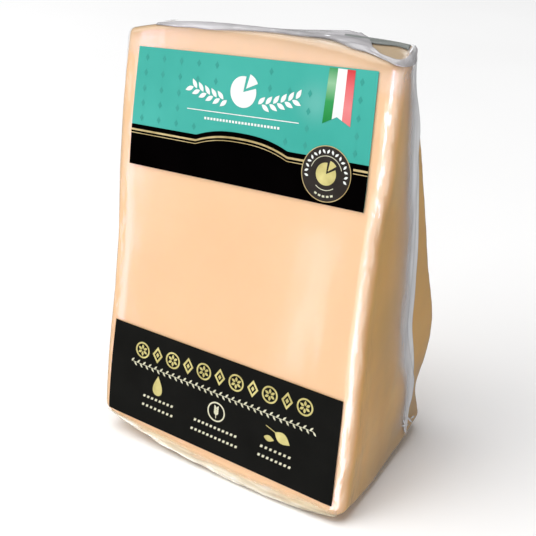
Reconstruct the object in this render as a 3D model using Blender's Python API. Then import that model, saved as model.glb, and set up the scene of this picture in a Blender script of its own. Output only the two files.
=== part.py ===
"""A vacuum-packed wedge of hard grana-type cheese, standing on its heel with its tip up.

The wedge is a sixteenth turn of half a wheel. Its front is a cut face, its two sides are the flat
sides of the wheel, and its heel is the curved rind. Clear film is shrunk tight all round it and
welded into a low seam, which runs up one side, over the tip and down the other. Two printed
labels lie on the front of the film.

Metres, +Z up, the front looks along -Y. The origin is under the middle of the pack, on the
surface that it stands on.
"""
import math

import bmesh
import bpy

# The pack's driving sizes
WIDTH_HEEL = 0.1210
WIDTH_TIP = 0.1182
DEPTH_HEEL = 0.0760
DEPTH_TIP = 0.0122
HEEL_CORNER = 0.0105
TIP_CORNER = 0.1730
MIDDLE_X = -0.0006
MIDDLE_Y = 0.0000

# The rind bows down between the sides and follows the wheel's rim from front to back. The flat
# spot is where the heavy pack has pressed it level. The right corners hang lower than the left.
HEEL_BOW = 0.0066
HEEL_RIM = 0.0055
HEEL_BOW_POWER = 2.5
HEEL_RIGHT_DROP = 0.0050
HEEL_RIGHT_DROP_BACK = 0.0018
DROP_ZONE = (-1.0, 0.4)

# The tip is arched between the sides, and its back edge falls on the left and rises on the right
TIP_ARCH = 0.0060
TIP_ARCH_POWER = 2.5
TIP_BACK_FALL = 0.0018
TIP_BACK_RISE = 0.0083
TIP_RISE_POWER = 1.5

# Rounded edges: the four upright ones at the heel and at the tip, then the heel's and tip's own
RADII_HEEL = {"front_right": 0.0055, "back_right": 0.0060, "back_left": 0.0060, "front_left": 0.0028}
RADII_TIP = {"front_right": 0.0042, "back_right": 0.0030, "back_left": 0.0030, "front_left": 0.0026}
HEEL_EDGE = 0.0035
TIP_EDGE = 0.0024
LEAST_RADIUS = 0.0004

# Swells of the broken back: the height of each above the heel's corners, its reach and its depth.
# They lean down and flatten towards the left, and part of each shows as a bulge of the sides.
BACK_SWELLS = [
    (0.049, 0.0165, 0.0080),
    (0.084, 0.0370, 0.0080),
    (0.016, 0.0080, -0.0040),
    (0.157, 0.0095, -0.0035),
]
SWELL_SLANT = 0.0060
SWELL_LEFT_SHARE = 0.40
BACK_SHARE = 0.60
RIGHT_SHARE = 0.25
LEFT_SHARE = 0.15

# The left side waves gently in and out as it rises
LEFT_WAVE = 0.0008
LEFT_WAVE_TURNS = 9.8
LEFT_WAVE_CREST = 0.76

# Where each swell sets in and is full, from -1 at the front or the middle to 1 at the far edge
BACK_ZONE = (-0.4, 1.0)
SIDE_ZONE = (0.1, 0.9)
EDGE_ZONE = (0.2, 1.0)

# The welded seam lies flat on the sides: its line is this part of the depth behind the front.
# Near the thin tip it keeps within a share of the flat of the side. It flattens out over the heel.
SEAM_LINE_HEEL = 0.79
SEAM_LINE_TIP = 0.88
SEAM_WIDTH = 0.0080
SEAM_HEIGHT = 0.0012
SEAM_EDGE = 0.0012
SEAM_BACK_LIMIT = 0.96
SEAM_WIDTH_LIMIT = 0.80
SEAM_ZONE = (0.02, 0.08)

# Labels: each corner is its distance right of the middle and its height above the heel's corners.
# The printed film has shrunk unevenly, so no two sides are quite alike.
UPPER_LABEL = {
    "top_left": (-0.0515, 0.1565),
    "top_right": (0.0505, 0.1605),
    "bottom_right": (0.0522, 0.1132),
    "bottom_left": (-0.0525, 0.1110),
}
LOWER_LABEL = {
    "top_left": (-0.0556, 0.0437),
    "top_right": (0.0546, 0.0426),
    "bottom_right": (0.0557, -0.0010),
    "bottom_left": (-0.0568, 0.0020),
}
LABEL_THICKNESS = 0.0004
LABEL_GAP = 0.0003

# Colours and roughness of the cheese in its film and of the two prints
CHEESE_COLOUR = (0.90, 0.62, 0.37)
TEAL_COLOUR = (0.078, 0.497, 0.413)
BLACK_COLOUR = (0.012, 0.012, 0.011)
FILM_ROUGHNESS = 0.35
PRINT_ROUGHNESS = 0.30

# How finely the solids are faceted
FRONT_CELLS = 14
SIDE_CELLS_FRONT = 5
SIDE_CELLS_BACK = 3
CORNER_CELLS = 3
WALL_CELLS = 22
WALL_START = 0.040
WALL_END = 0.975
EDGE_CELLS = 3
HEEL_RINGS = [0.88, 0.74, 0.60, 0.49]
TIP_RINGS = [0.60]
LABEL_CELLS_WIDE = 16
LABEL_CELLS_HIGH = 8
SMOOTH_ANGLE = 35.0


def blend(start, end, share):
    """The value that lies this share of the way from start to end."""
    return start + (end - start) * share


def smooth_step(value, low, high):
    """Rises smoothly from 0 at low to 1 at high."""
    share = min(max((value - low) / (high - low), 0.0), 1.0)
    return share * share * (3.0 - 2.0 * share)


def plain_level(height):
    """Height above the ground at a share of the plain wedge's height."""
    return blend(HEEL_CORNER, TIP_CORNER, height)


def half_width(level):
    """Half the pack's width at a height above the ground, before it swells."""
    return blend(WIDTH_HEEL, WIDTH_TIP, (level - HEEL_CORNER) / (TIP_CORNER - HEEL_CORNER)) / 2


def half_depth(level):
    """Half the pack's depth at a height above the ground, before it swells."""
    return blend(DEPTH_HEEL, DEPTH_TIP, (level - HEEL_CORNER) / (TIP_CORNER - HEEL_CORNER)) / 2


def heel_level(across, along):
    """Height of the rind. Both arguments run from -1 to 1, left to right and front to back."""
    bow = HEEL_BOW * (1.0 - min(abs(across), 1.0) ** HEEL_BOW_POWER)
    rim = HEEL_RIM * (1.0 - min(along * along, 1.0))
    to_back = smooth_step(along, *DROP_ZONE)
    corner_drop = blend(HEEL_RIGHT_DROP, HEEL_RIGHT_DROP_BACK, to_back)
    drop = corner_drop * smooth_step(across, -1.0, 1.0)
    return max(HEEL_CORNER - bow - rim - drop, 0.0)


def tip_level(across, along):
    """Height of the tip's top, with the same arguments."""
    arch = TIP_ARCH * (1.0 - min(abs(across), 1.0) ** TIP_ARCH_POWER)
    lift = TIP_BACK_RISE * max(across, 0.0) ** TIP_RISE_POWER - TIP_BACK_FALL
    return TIP_CORNER + arch + lift * (along + 1.0) / 2


def back_swell(level, across):
    """How far the broken back stands out from its plane at a height above the ground.

    The swells sit a little lower, and are flatter, towards the left.
    """
    above = level - HEEL_CORNER + SWELL_SLANT * (1.0 - across)
    share = blend(SWELL_LEFT_SHARE, 1.0, (across + 1.0) / 2)
    return share * sum(depth * math.exp(-0.5 * ((above - middle) / reach) ** 2)
                       for middle, reach, depth in BACK_SWELLS)


def settle(x, y, height, rise=0.0):
    """Puts a point of the plain wedge where the real, swollen wedge has it.

    The height is a share, from the rind's surface to the tip's. The rise is added to it in metres.
    """
    across = x / half_width(plain_level(height))
    along = y / half_depth(plain_level(height))
    level = blend(heel_level(across, along), tip_level(across, along), height) + rise
    swell = back_swell(level, across)
    side = swell * smooth_step(along, *SIDE_ZONE)
    left_wave = LEFT_WAVE * math.cos(LEFT_WAVE_TURNS * (height - LEFT_WAVE_CREST))
    to_right = RIGHT_SHARE * side * smooth_step(across, *EDGE_ZONE)
    to_left = (LEFT_SHARE * side + left_wave) * smooth_step(-across, *EDGE_ZONE)
    to_back = BACK_SHARE * swell * smooth_step(along, *BACK_ZONE)
    return (across * half_width(level) + to_right - to_left + MIDDLE_X,
            along * half_depth(level) + to_back + MIDDLE_Y,
            level)


def corner_radius(name, height):
    """Radius of an upright edge at a share of the height."""
    return blend(RADII_HEEL[name], RADII_TIP[name], height)


def seam_shares(height):
    """The seam's four lines, as shares of the side from front to back."""
    depth = 2 * half_depth(plain_level(height))
    flat_front = corner_radius("front_right", height)
    flat = depth - flat_front - corner_radius("back_right", height)
    line = depth * blend(SEAM_LINE_HEEL, SEAM_LINE_TIP, height)
    line = min(line, flat_front + flat * SEAM_BACK_LIMIT)
    width = min(SEAM_WIDTH, flat * SEAM_WIDTH_LIMIT)
    edge = min(SEAM_EDGE, width / 4)
    lines = (line - width, line - width + edge, line - edge, line)
    return [(value - flat_front) / flat for value in lines]


def side_stations(height):
    """Shares of a side, front to back, and how far the seam lifts each."""
    outer, ridge_start, ridge_end, inner = seam_shares(height)
    lift = SEAM_HEIGHT * smooth_step(height, *SEAM_ZONE)
    front = [(outer * cell / SIDE_CELLS_FRONT, 0.0) for cell in range(SIDE_CELLS_FRONT + 1)]
    ridge = [(ridge_start, lift), (ridge_end, lift)]
    back = [(blend(inner, 1.0, cell / SIDE_CELLS_BACK), 0.0) for cell in range(SIDE_CELLS_BACK + 1)]
    return front + ridge + back


def plan_ring(height, inset):
    """One ring round the plain wedge, anticlockwise from above, as (x, y) pairs.

    It starts at the left end of the front. The inset draws the whole ring in.
    """
    wide = half_width(plain_level(height)) - inset
    deep = half_depth(plain_level(height)) - inset
    radius = {name: max(corner_radius(name, height) - inset, LEAST_RADIUS) for name in RADII_HEEL}
    points = []

    def add_corner(name, sign_x, sign_y, start):
        centre_x = sign_x * (wide - radius[name])
        centre_y = sign_y * (deep - radius[name])
        for cell in range(1, CORNER_CELLS):
            angle = math.radians(start + 90.0 * cell / CORNER_CELLS)
            points.append((centre_x + radius[name] * math.cos(angle),
                           centre_y + radius[name] * math.sin(angle)))

    for cell in range(FRONT_CELLS + 1):
        x = blend(-wide + radius["front_left"], wide - radius["front_right"], cell / FRONT_CELLS)
        points.append((x, -deep))
    add_corner("front_right", 1, -1, 270.0)
    for share, lift in side_stations(height):
        y = blend(-deep + radius["front_right"], deep - radius["back_right"], share)
        points.append((wide + lift, y))
    add_corner("back_right", 1, 1, 0.0)
    for cell in range(FRONT_CELLS + 1):
        x = blend(wide - radius["back_right"], -wide + radius["back_left"], cell / FRONT_CELLS)
        points.append((x, deep))
    add_corner("back_left", -1, 1, 90.0)
    for share, lift in reversed(side_stations(height)):
        y = blend(-deep + radius["front_left"], deep - radius["back_left"], share)
        points.append((-wide - lift, y))
    add_corner("front_left", -1, -1, 180.0)
    return points


def settled_ring(height, inset, scale, rise):
    """A ring of the real wedge, drawn in, scaled about the middle and raised."""
    ring = []
    for x, y in plan_ring(height, inset):
        ring.append(settle(x * scale, y * scale, height, rise))
    return ring


def wedge_rings():
    """All rings from the middle of the heel, up the walls, to the middle of the tip."""
    quarter = [math.radians(90.0 * cell / EDGE_CELLS) for cell in range(EDGE_CELLS + 1)]
    rings = [settled_ring(0.0, HEEL_EDGE, scale, 0.0) for scale in reversed(HEEL_RINGS)]
    for angle in quarter:
        inset = HEEL_EDGE * (1.0 - math.sin(angle))
        rings.append(settled_ring(0.0, inset, 1.0, HEEL_EDGE * (1.0 - math.cos(angle))))
    for cell in range(WALL_CELLS + 1):
        height = blend(WALL_START, WALL_END, cell / WALL_CELLS)
        rings.append(settled_ring(height, 0.0, 1.0, 0.0))
    for angle in quarter:
        inset = TIP_EDGE * (1.0 - math.cos(angle))
        rings.append(settled_ring(1.0, inset, 1.0, TIP_EDGE * (math.sin(angle) - 1.0)))
    rings += [settled_ring(1.0, TIP_EDGE, scale, 0.0) for scale in TIP_RINGS]
    return rings


def add_object(name, mesh, colour, roughness):
    """Makes a named object with a material of its own."""
    material = bpy.data.materials.new(name + "_finish")
    material.use_nodes = True
    shader = material.node_tree.nodes["Principled BSDF"]
    shader.inputs["Base Color"].default_value = (*colour, 1.0)
    shader.inputs["Roughness"].default_value = roughness
    shader.inputs["Metallic"].default_value = 0.0
    material.diffuse_color = (*colour, 1.0)
    mesh.materials.append(material)
    mesh.shade_smooth()
    mesh.set_sharp_from_angle(angle=math.radians(SMOOTH_ANGLE))
    piece = bpy.data.objects.new(name, mesh)
    bpy.context.scene.collection.objects.link(piece)
    return piece


def make_packed_wedge():
    """The cheese in its shrunk film, as one closed solid."""
    build = bmesh.new()
    rings = [[build.verts.new(point) for point in ring] for ring in wedge_rings()]
    count = len(rings[0])
    for lower, upper in zip(rings, rings[1:]):
        for index in range(count):
            after = (index + 1) % count
            build.faces.new((lower[index], lower[after], upper[after], upper[index]))
    build.faces.new(list(reversed(rings[0])))
    crown = build.verts.new(tuple(sum(vert.co[axis] for vert in rings[-1]) / count
                                  for axis in range(3)))
    for index in range(count):
        build.faces.new((rings[-1][index], rings[-1][(index + 1) % count], crown))
    mesh = bpy.data.meshes.new("packed_wedge")
    build.to_mesh(mesh)
    build.free()
    return add_object("packed_wedge", mesh, CHEESE_COLOUR, FILM_ROUGHNESS)


def front_point(x, level, lift):
    """A point over the front, at a distance right of the middle and above the heel's corners.

    Past an upright edge's tangent, or the heel edge's, it goes on round that edge, so a label
    wraps there. The lift is its distance out from the film.
    """
    across = x / half_width(HEEL_CORNER + level)
    bottom = heel_level(across, -1.0)
    top = tip_level(across, -1.0)
    height = (HEEL_CORNER + level - bottom) / (top - bottom)
    rise = 0.0
    inset = -lift
    wrap = HEEL_EDGE - height * (top - bottom)
    if wrap > 0.0:
        angle = wrap / HEEL_EDGE
        inset = HEEL_EDGE - (HEEL_EDGE + lift) * math.cos(angle)
        rise = HEEL_EDGE - (HEEL_EDGE + lift) * math.sin(angle)
        height = 0.0
    radius = corner_radius("front_right" if x > 0 else "front_left", height)
    flat = half_width(plain_level(height)) - radius
    turn = max(abs(x) - flat, 0.0) / radius
    out = radius - inset
    plan_x = math.copysign(min(abs(x), flat) + out * math.sin(turn), x)
    plan_y = radius - half_depth(plain_level(height)) - out * math.cos(turn)
    return settle(plan_x, plan_y, height, rise)


def edge_spaced(cells):
    """Shares from 0 to 1 that crowd at both ends, where a label wraps round an edge."""
    return [(1.0 - math.cos(math.pi * cell / cells)) / 2 for cell in range(cells + 1)]


def label_place(corners, share, up):
    """Where a share of a label's width and height lies on the front."""
    bottom = [blend(*pair, share) for pair in zip(corners["bottom_left"], corners["bottom_right"])]
    top = [blend(*pair, share) for pair in zip(corners["top_left"], corners["top_right"])]
    return [blend(*pair, up) for pair in zip(bottom, top)]


def make_label(name, corners, colour):
    """A printed label that follows the front of the film."""
    build = bmesh.new()
    layers = []
    for lift in (LABEL_GAP, LABEL_GAP + LABEL_THICKNESS):
        grid = []
        for up in edge_spaced(LABEL_CELLS_HIGH):
            line = []
            for share in edge_spaced(LABEL_CELLS_WIDE):
                x, level = label_place(corners, share, up)
                line.append(build.verts.new(front_point(x, level, lift)))
            grid.append(line)
        layers.append(grid)
    back, front = layers
    rows, columns = LABEL_CELLS_HIGH, LABEL_CELLS_WIDE
    for row in range(rows):
        for column in range(columns):
            build.faces.new((front[row][column], front[row][column + 1],
                             front[row + 1][column + 1], front[row + 1][column]))
            build.faces.new((back[row][column], back[row + 1][column],
                             back[row + 1][column + 1], back[row][column + 1]))
    rim = [(0, column) for column in range(columns)]
    rim += [(row, columns) for row in range(rows)]
    rim += [(rows, column) for column in range(columns, 0, -1)]
    rim += [(row, 0) for row in range(rows, 0, -1)]
    for (row, column), (next_row, next_column) in zip(rim, rim[1:] + rim[:1]):
        build.faces.new((back[row][column], back[next_row][next_column],
                         front[next_row][next_column], front[row][column]))
    mesh = bpy.data.meshes.new(name)
    build.to_mesh(mesh)
    build.free()
    return add_object(name, mesh, colour, PRINT_ROUGHNESS)


for leftover in list(bpy.data.objects):
    bpy.data.objects.remove(leftover)

make_packed_wedge()
make_label("upper_label", UPPER_LABEL, TEAL_COLOUR)
make_label("lower_label", LOWER_LABEL, BLACK_COLOUR)
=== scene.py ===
import math

import bmesh
import bpy
import numpy as np
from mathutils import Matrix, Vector, geometry, noise


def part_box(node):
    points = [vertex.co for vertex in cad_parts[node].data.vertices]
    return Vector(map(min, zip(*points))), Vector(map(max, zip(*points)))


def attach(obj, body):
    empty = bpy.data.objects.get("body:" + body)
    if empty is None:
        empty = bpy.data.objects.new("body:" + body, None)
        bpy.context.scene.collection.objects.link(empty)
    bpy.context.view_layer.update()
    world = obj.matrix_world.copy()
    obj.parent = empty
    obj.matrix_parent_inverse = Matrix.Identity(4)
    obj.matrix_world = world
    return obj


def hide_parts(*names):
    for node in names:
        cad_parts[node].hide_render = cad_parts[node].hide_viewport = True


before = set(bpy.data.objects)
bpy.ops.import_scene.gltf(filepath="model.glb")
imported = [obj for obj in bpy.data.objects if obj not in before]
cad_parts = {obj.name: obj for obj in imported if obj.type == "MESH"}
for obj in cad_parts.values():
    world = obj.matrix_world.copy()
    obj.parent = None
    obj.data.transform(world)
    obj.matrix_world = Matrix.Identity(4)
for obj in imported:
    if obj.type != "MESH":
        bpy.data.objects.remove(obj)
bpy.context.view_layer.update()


# The cheese.
# A wedge of hard, aged, grana-type cheese: a sixteenth turn of half a wheel. The front and back are
# cut faces of cream paste, the sides are the wheel's flat rind and the heel its curved rind.
WEDGE_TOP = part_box("packed_wedge")[1][2]
TIP_ARCH = 0.0060
TIP_CORNER = round(WEDGE_TOP - TIP_ARCH, 4)
HEEL_CORNER = 0.0105
WIDTH_HEEL = 0.1210
WIDTH_TIP = 0.1182
DEPTH_HEEL = 0.0760
DEPTH_TIP = 0.0122
MIDDLE_X = -0.0006
HEEL_BOW = 0.0066
HEEL_RIM = 0.0055
HEEL_DROP_FRONT = 0.0050
HEEL_DROP_BACK = 0.0018
TIP_BACK_FALL = 0.0018
TIP_BACK_RISE = 0.0083
ARCH_POWER = 2.5
TIP_RISE_POWER = 1.5
UPRIGHT_HEEL = {"front_right": 0.0048, "back_right": 0.0060, "back_left": 0.0060, "front_left": 0.0028}
UPRIGHT_TIP = {"front_right": 0.0052, "back_right": 0.0030, "back_left": 0.0030, "front_left": 0.0026}
HEEL_EDGE = 0.0035
TIP_EDGE = 0.0024
LEAST_RADIUS = 0.0004

# Each swell of the broken back is its height above the heel's corners, its reach and its depth
BACK_SWELLS = [
    (0.049, 0.0165, 0.0080),
    (0.084, 0.0370, 0.0080),
    (0.016, 0.0080, -0.0040),
    (0.157, 0.0095, -0.0035),
]
SWELL_SLANT = 0.0060
SWELL_LEFT_SHARE = 0.40
BACK_SHARE = 0.60
RIGHT_SHARE = 0.25
LEFT_SHARE = 0.15
LEFT_WAVE = 0.0008
LEFT_WAVE_TURNS = 9.8
LEFT_WAVE_CREST = 0.76

# The front falls away a little beside its upright edges
SHOULDER_WIDTH = 0.0095
SHOULDER_FALL = 0.0006

# The front right edge is a little hollow between these four levels, and deepest between the middle two
HOLLOW_DEPTH = 0.0016
HOLLOW_LEVELS = (0.042, 0.080, 0.112, 0.1335)

# How finely the skin of the wedge is meshed
FRONT_CELLS = 112
SIDE_CELLS = 62
BACK_CELLS = 84
CORNER_CELLS = 9
WALL_CELLS = 168
CAP_CELLS = 18


def blend(start, end, share):
    """The value that lies this share of the way from start to end."""
    return start + (end - start) * share


def smooth_step(value, low, high):
    """Rises smoothly from 0 at low to 1 at high."""
    share = np.clip((value - low) / (high - low), 0.0, 1.0)
    return share * share * (3.0 - 2.0 * share)


def plain_level(height):
    """Height above the ground at a share of the plain wedge's height."""
    return blend(HEEL_CORNER, TIP_CORNER, height)


def half_width(level):
    """Half the width at a height above the ground, before the wedge swells."""
    return blend(WIDTH_HEEL, WIDTH_TIP, (level - HEEL_CORNER) / (TIP_CORNER - HEEL_CORNER)) / 2


def half_depth(level):
    """Half the depth at a height above the ground, before the wedge swells."""
    return blend(DEPTH_HEEL, DEPTH_TIP, (level - HEEL_CORNER) / (TIP_CORNER - HEEL_CORNER)) / 2


def heel_level(across, along):
    """Height of the rind under the wedge. Both arguments run from -1 to 1."""
    bow = HEEL_BOW * (1.0 - np.minimum(np.abs(across), 1.0) ** ARCH_POWER)
    rim = HEEL_RIM * (1.0 - np.minimum(along * along, 1.0))
    drop = blend(HEEL_DROP_FRONT, HEEL_DROP_BACK, smooth_step(along, -1.0, 0.4))
    return np.maximum(HEEL_CORNER - bow - rim - drop * smooth_step(across, -1.0, 1.0), 0.0)


def tip_level(across, along):
    """Height of the tip's top. Both arguments run from -1 to 1."""
    arch = TIP_ARCH * (1.0 - np.minimum(np.abs(across), 1.0) ** ARCH_POWER)
    lift = TIP_BACK_RISE * np.maximum(across, 0.0) ** TIP_RISE_POWER - TIP_BACK_FALL
    return TIP_CORNER + arch + lift * (along + 1.0) / 2


def settle(x, y, height, rise=0.0):
    """Puts points of the plain wedge where the swollen wedge has them, as an array of places."""
    across = x / half_width(plain_level(height))
    along = y / half_depth(plain_level(height))
    level = blend(heel_level(across, along), tip_level(across, along), height) + rise
    above = level - HEEL_CORNER + SWELL_SLANT * (1.0 - across)
    swell = sum(depth * np.exp(-0.5 * ((above - middle) / reach) ** 2)
                for middle, reach, depth in BACK_SWELLS)
    swell = swell * blend(SWELL_LEFT_SHARE, 1.0, (across + 1.0) / 2)
    side = swell * smooth_step(along, 0.1, 0.9)
    wave = LEFT_WAVE * np.cos(LEFT_WAVE_TURNS * (height - LEFT_WAVE_CREST))
    to_right = RIGHT_SHARE * side * smooth_step(across, 0.2, 1.0)
    to_left = (LEFT_SHARE * side + wave) * smooth_step(-across, 0.2, 1.0)
    to_back = BACK_SHARE * swell * smooth_step(along, -0.4, 1.0)
    to_edge = half_width(level) * (1.0 - np.abs(across))
    shoulder = np.clip(1.0 - to_edge / SHOULDER_WIDTH, 0.0, 1.0) ** 2 * np.clip(-along, 0.0, 1.0)
    hollow = smooth_step(level, *HOLLOW_LEVELS[:2]) * (1.0 - smooth_step(level, *HOLLOW_LEVELS[2:]))
    hollow = HOLLOW_DEPTH * hollow * smooth_step(across, 0.80, 1.0) * smooth_step(-along, 0.2, 1.0)
    places = (across * half_width(level) + to_right - to_left - hollow + MIDDLE_X,
              along * half_depth(level) + to_back + SHOULDER_FALL * shoulder, level)
    return np.stack(np.broadcast_arrays(*places), axis=-1)


def upright_radius(name, height):
    """Radius of one of the four upright edges at a share of the height."""
    return blend(UPRIGHT_HEEL[name], UPRIGHT_TIP[name], height)


def plan_ring(height, inset):
    """A ring round the plain wedge from the front's left end, and how much of it is rind."""
    wide = half_width(plain_level(height)) - inset
    deep = half_depth(plain_level(height)) - inset
    radius = {name: max(upright_radius(name, height) - inset, LEAST_RADIUS) for name in UPRIGHT_HEEL}
    points, rind = [], []

    def straight(start, end, cells, value):
        share = (np.arange(cells) / cells)[:, None]
        points.append(np.array(start) + (np.array(end) - np.array(start)) * share)
        rind.append(np.full(cells, value))

    def corner(name, sign_x, sign_y, start, before, after):
        angle = np.radians(start + 90.0 * np.arange(CORNER_CELLS) / CORNER_CELLS)
        middle = np.array([sign_x * (wide - radius[name]), sign_y * (deep - radius[name])])
        points.append(middle + radius[name] * np.stack([np.cos(angle), np.sin(angle)], axis=-1))
        rind.append(blend(before, after, np.arange(CORNER_CELLS) / CORNER_CELLS))

    straight((radius["front_left"] - wide, -deep), (wide - radius["front_right"], -deep), FRONT_CELLS, 0.0)
    corner("front_right", 1, -1, 270.0, 0.0, 1.0)
    straight((wide, radius["front_right"] - deep), (wide, deep - radius["back_right"]), SIDE_CELLS, 1.0)
    corner("back_right", 1, 1, 0.0, 1.0, 0.0)
    straight((wide - radius["back_right"], deep), (radius["back_left"] - wide, deep), BACK_CELLS, 0.0)
    corner("back_left", -1, 1, 90.0, 0.0, 1.0)
    straight((-wide, deep - radius["back_left"]), (-wide, radius["front_left"] - deep), SIDE_CELLS, 1.0)
    corner("front_left", -1, -1, 180.0, 1.0, 0.0)
    return np.concatenate(points), np.concatenate(rind)


def wedge_skin():
    """The wedge's whole skin: its places, its faces, and how much of it is rind and tip at each place."""
    rings, rinds, tops = [], [], []

    def add_ring(height, inset, scale, rise, heel_share=0.0, top_share=0.0):
        plan, rind = plan_ring(height, inset)
        rings.append(settle(plan[:, 0] * scale, plan[:, 1] * scale, height, rise))
        rinds.append(np.maximum(rind, heel_share))
        tops.append(np.full(len(plan), top_share))

    quarter = np.radians(np.linspace(0.0, 90.0, CORNER_CELLS))
    for scale in np.linspace(0.03, 0.97, CAP_CELLS):
        add_ring(0.0, HEEL_EDGE, scale, 0.0, 1.0)
    for angle in quarter:
        add_ring(0.0, HEEL_EDGE * (1 - math.sin(angle)), 1.0, HEEL_EDGE * (1 - math.cos(angle)),
                 math.cos(angle))
    for height in np.linspace(0.027, 0.981, WALL_CELLS):
        add_ring(height, 0.0, 1.0, 0.0)
    for angle in quarter:
        add_ring(1.0, TIP_EDGE * (1 - math.cos(angle)), 1.0, TIP_EDGE * (math.sin(angle) - 1),
                 top_share=float(smooth_step(angle, 0.5, 1.4)))
    for scale in np.linspace(0.93, 0.08, CAP_CELLS // 3):
        add_ring(1.0, TIP_EDGE, scale, 0.0, top_share=1.0)
    count = len(rings[0])
    places = np.concatenate(rings + [rings[0].mean(0)[None], rings[-1].mean(0)[None]])
    rind = np.concatenate(rinds + [[1.0, 0.0]])
    top = np.concatenate(tops + [[0.0, 1.0]])
    heel_middle, tip_middle = len(places) - 2, len(places) - 1
    column = np.arange(count)
    after = (column + 1) % count
    faces = []
    for ring in range(len(rings) - 1):
        low, high = ring * count, (ring + 1) * count
        faces += np.stack([low + column, low + after, high + after, high + column], axis=-1).tolist()
    last = (len(rings) - 1) * count
    faces += [(int(after[i]), int(column[i]), heel_middle) for i in range(count)]
    faces += [(int(last + column[i]), int(last + after[i]), tip_middle) for i in range(count)]
    return places, faces, rind, top


def new_piece(name, places, faces, material):
    """A smooth-shaded object of one material, with its place in its mesh."""
    mesh = bpy.data.meshes.new(name)
    mesh.from_pydata([tuple(place) for place in places], [], faces)
    mesh.materials.append(material)
    mesh.shade_smooth()
    piece = bpy.data.objects.new(name, mesh)
    bpy.context.scene.collection.objects.link(piece)
    return piece


def add_values(piece, name, values):
    """Stores one number for each point of a piece, for its material to read."""
    layer = piece.data.attributes.new(name, "FLOAT", "POINT")
    layer.data.foreach_set("value", np.asarray(values, dtype=np.float32))


def point_normals(piece):
    """The outward direction at each point of a piece."""
    normals = np.empty(len(piece.data.vertices) * 3, dtype=np.float32)
    piece.data.vertex_normals.foreach_get("vector", normals)
    return normals.reshape(-1, 3).astype(float)


def swell_piece(piece, places, amounts):
    """Moves each point of a piece outwards by its amount."""
    moved = places + point_normals(piece) * np.asarray(amounts)[:, None]
    moved[:, 2] = np.maximum(moved[:, 2], 0.0)
    piece.data.vertices.foreach_set("co", moved.astype(np.float32).ravel())
    piece.data.update()
    return moved


def grain(places, size, seed):
    """Smooth random values from -1 to 1 over the places, with lumps of this size."""
    shift = Vector((seed * 3.1, seed * 7.7, seed * 1.3))
    return np.array([noise.noise(Vector(place) / size + shift) for place in places.tolist()])


def new_material(name):
    """A material with its nodes and its shader, ready for its sockets to be set."""
    material = bpy.data.materials.new(name)
    material.use_nodes = True
    return material, material.node_tree.nodes, material.node_tree.links


def ramp(nodes, source, links, stops):
    """A colour ramp with stops of (position, colour), fed by a source socket."""
    node = nodes.new("ShaderNodeValToRGB")
    elements = node.color_ramp.elements
    while len(elements) < len(stops):
        elements.new(0.5)
    for element, (position, colour) in zip(elements, stops):
        element.position = position
        element.color = (*colour, 1.0)
    links.new(source, node.inputs["Fac"])
    return node.outputs["Color"]


def noise_texture(nodes, links, scale, detail, stretch=(1.0, 1.0, 1.0)):
    """Noise on Object coordinates, stretched along the axes, as a value socket."""
    coordinate = nodes.new("ShaderNodeTexCoord")
    mapping = nodes.new("ShaderNodeMapping")
    mapping.inputs["Scale"].default_value = stretch
    texture = nodes.new("ShaderNodeTexNoise")
    texture.inputs["Scale"].default_value = scale
    texture.inputs["Detail"].default_value = detail
    links.new(coordinate.outputs["Object"], mapping.inputs["Vector"])
    links.new(mapping.outputs["Vector"], texture.inputs["Vector"])
    return texture.outputs["Fac"]


def mix_colours(nodes, links, share, first, second, kind="MIX"):
    """Blends two colour sockets by a share, which is a socket or a number."""
    node = nodes.new("ShaderNodeMix")
    node.data_type = "RGBA"
    node.blend_type = kind
    if isinstance(share, float):
        node.inputs["Factor"].default_value = share
    else:
        links.new(share, node.inputs["Factor"])
    links.new(first, node.inputs[6])
    links.new(second, node.inputs[7])
    return node.outputs[2]


def attribute(nodes, name):
    """The value that a piece stores for its points under this name."""
    node = nodes.new("ShaderNodeAttribute")
    node.attribute_name = name
    return node.outputs["Fac"]


def bump(nodes, links, height, strength, distance):
    """A bump whose strength is a number or a socket."""
    node = nodes.new("ShaderNodeBump")
    node.inputs["Distance"].default_value = distance
    if isinstance(strength, float):
        node.inputs["Strength"].default_value = strength
    else:
        links.new(strength, node.inputs["Strength"])
    links.new(height, node.inputs["Height"])
    return node


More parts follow.
